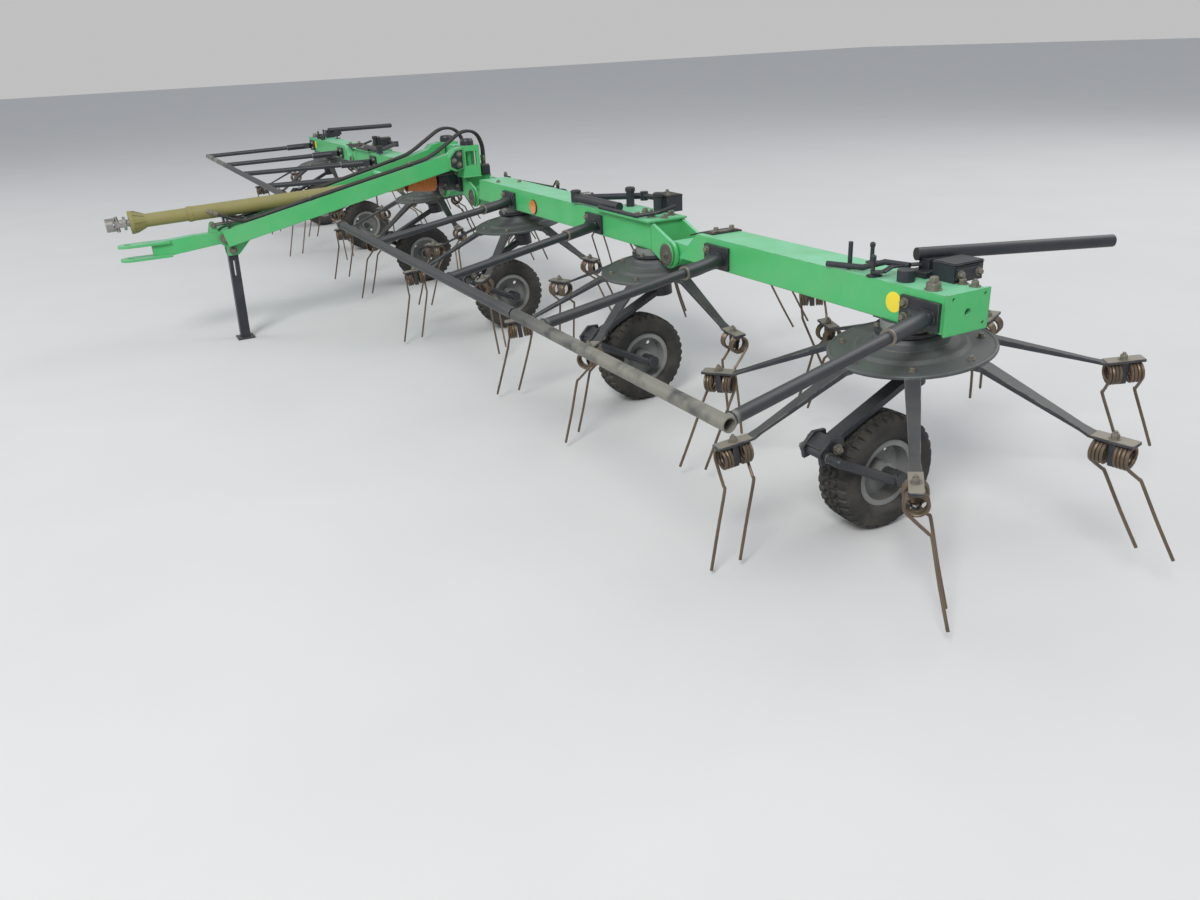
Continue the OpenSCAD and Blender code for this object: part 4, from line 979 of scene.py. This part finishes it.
def makeCentre():
    s, shaft = centreTrim, shaftShape
    axis = shaftPoint(0, 0, 1) - shaftPoint(0, 0, 0)
    dark, bolts, welds, collars, cone, strut = newKits(6)
    for side, sign in sides:
        verts = [flip(sign, (x, y, z)) for y in (230.2, 236) for x, z in s["plate"]]
        addMesh(dark, verts, plateFaces(len(s["plate"])))
        boltRow(bolts, sign, s["plateBolts"], (0, 1, 0), 19, 4)
        for *place, size in s["pins"]:
            boltRow(bolts, sign, [place], (0, 1, 0), size)
        boltRow(strut, sign, s["strut"], (0, 1, 0), 18)
        for path in s["welds"]:
            weldBead(welds, sign, path)
        boltRow(bolts, sign, s["frontBolts"], (1, 0, 0), 18)
        spin(bolts, s["cover"], flip(sign, s["coverAt"]), (-1, 0, 0))
    for a in range(0, 360, 60):
        r = radians(a)
        addBolt(bolts, shaftPoint(shaft["bolts"] * cos(r), shaft["bolts"] * sin(r), 4), axis, 13)
    for z, r, h in shaft["collars"]:
        spin(collars, [(r, -1), (r + 1.8, 0), (r + 1.8, h), (r, h + 1)], shaftPoint(0, 0, z), axis, 36)
    for a in range(0, 360, 45):
        c, d = cos(radians(a)), sin(radians(a))
        sweepTube(collars, [shaftPoint(r * c, r * d, z) for r, z in shaft["spokes"]], 2.2, 6)
    ring = s["cone"]
    for z in ring["rings"]:
        r = ring["radius"] - (z - ring["rear"]) * ring["slope"]
        spin(cone, [(r - 0.5, -4), (r + 2.6, -1.2), (r + 2.6, 1.2), (r - 0.5, 4)], shaftPoint(0, 0, z), axis, 36)
    makePieces("", "root", ("headPlates", dark, "dark_frame"), ("centreBolts", bolts, "zinc_bolt"),
               ("centreWelds", welds, "green_paint"), ("guardCollars", collars, "guard_plastic"),
               ("coneRings", cone, "cone_plastic"))
    makePiece("strutBolts", strut, "zinc_bolt", "tongue")


makeCentre()


# Port elbows and the steel line along each fold cylinder; its places run along the cylinder from its pin
lineShape = {"pin": (-232, 205, 705), "rise": atan2(20, 1045), "ports": (60, 740), "clips": (200, 420, 620),
             "elbow": ((10.5, 0), (11.8, 1), (11.8, 10), (8, 12), (8, 20), (5, 22)),
             "clip": ((27.2, -6), (28.8, -6), (28.8, 6), (27.2, 6)),
             "path": ((740, 0, 56), (738, 0, 62), (728, 0, 64), (708, 0, 52), (690, 0, 36), (660, 0, 32), (400, 0, 32),
                      (120, 0, 32), (98, 4, 33), (84, 18, 36), (60, 22, 36), (24, 22, 34))}


def makeCylinderLine(side, sign):
    s = lineShape
    line, nuts = newKits(2)

    def point(x, y, z):
        (px, py, pz), a = s["pin"], s["rise"]
        return flip(sign, (px - y, py + x * cos(a) - z * sin(a), pz + x * sin(a) + z * cos(a)))

    base = point(0, 0, 0)
    for x in s["ports"]:
        spin(nuts, s["elbow"], point(x, 0, 44), point(0, 0, 1) - base, 6)
    sweepTube(line, smoothPath([point(*p) for p in s["path"]], 4), 4, 8)
    for x in s["clips"]:
        spin(nuts, s["clip"], point(x, 0, 0), point(1, 0, 0) - base, 36)
    makePieces(side, "lift_barrel_" + side, ("cylinderLine_", line, "dark_frame"), ("cylinderNuts_", nuts, "zinc_bolt"))


for side, sign in sides:
    makeCylinderLine(side, sign)
print("centre fitted out")


# Camera, floor and light
view = {"place": (1994, 5521, 1438), "lens": 28.47, "heading": radians(-117.64),
        "down": radians(23.26), "roll": radians(-2.84)}


def makeCamera():
    psi, theta, rho = view["heading"], view["down"], view["roll"]
    forward = Vector((cos(psi) * cos(theta), sin(psi) * cos(theta), -sin(theta)))
    right0 = Vector((sin(psi), -cos(psi), 0))
    up0 = right0.cross(forward)
    right = cos(rho) * right0 + sin(rho) * up0
    up = -sin(rho) * right0 + cos(rho) * up0
    data = bpy.data.cameras.new("photoCamera")
    data.lens = view["lens"]
    data.sensor_width = 36
    data.clip_start, data.clip_end = 0.05, 200
    obj = newObject("photoCamera", data)
    turn = Matrix((right, up, -forward)).transposed().to_4x4()
    obj.matrix_world = Matrix.Translation(at(*view["place"])) @ turn
    bpy.context.scene.camera = obj


def makeFloor():
    mesh = bpy.data.meshes.new("floor")
    mesh.from_pydata([(-60, -60, 0), (60, -60, 0), (60, 60, 0), (-60, 60, 0)], [], [(0, 1, 2, 3)])
    obj = newObject("floor", mesh)
    material, tree, shader = newMaterial("paleFloor")
    cloud = noise(tree, objectPlace(tree), 1.3, 6)
    feed(tree, mixColour(tree, cloud, (0.52, 0.515, 0.5), (0.57, 0.565, 0.55)), shader["Base Color"])
    feed(tree, 0.85, shader["Roughness"])
    mesh.materials.append(material)


def addLight(name, place, size, power):
    data = bpy.data.lights.new(name, "AREA")
    data.energy, data.size = power, size
    obj = newObject(name, data)
    obj.location = Vector(place)
    obj.rotation_mode = "QUATERNION"
    obj.rotation_quaternion = (Vector((0, 0, 0.4)) - Vector(place)).to_track_quat("-Z", "Y")


lights = {"key": ((7, 9, 9), 4.0, 1250), "fill": ((9, -6, 7), 7.0, 400), "back": ((-9, 2, 8), 7.0, 450)}


def makeLight():
    world = bpy.data.worlds.new("paleWorld")
    bpy.context.scene.world = world
    world.use_nodes = True
    tree = world.node_tree
    background = tree.nodes["Background"].inputs
    path = addNode(tree, "LightPath").outputs
    seen = mathNode(tree, "MAXIMUM", path["Is Camera Ray"], path["Is Glossy Ray"])
    feed(tree, mixColour(tree, seen, (0.86, 0.91, 1.0), (0.8, 0.8, 0.8)), background["Color"])
    feed(tree, 0.66, background["Strength"])
    for name, values in lights.items():
        addLight(name, *values)


makeCamera()
makeFloor()
makeLight()
bpy.context.scene.view_settings.view_transform = "Standard"
print("camera, floor and light set")
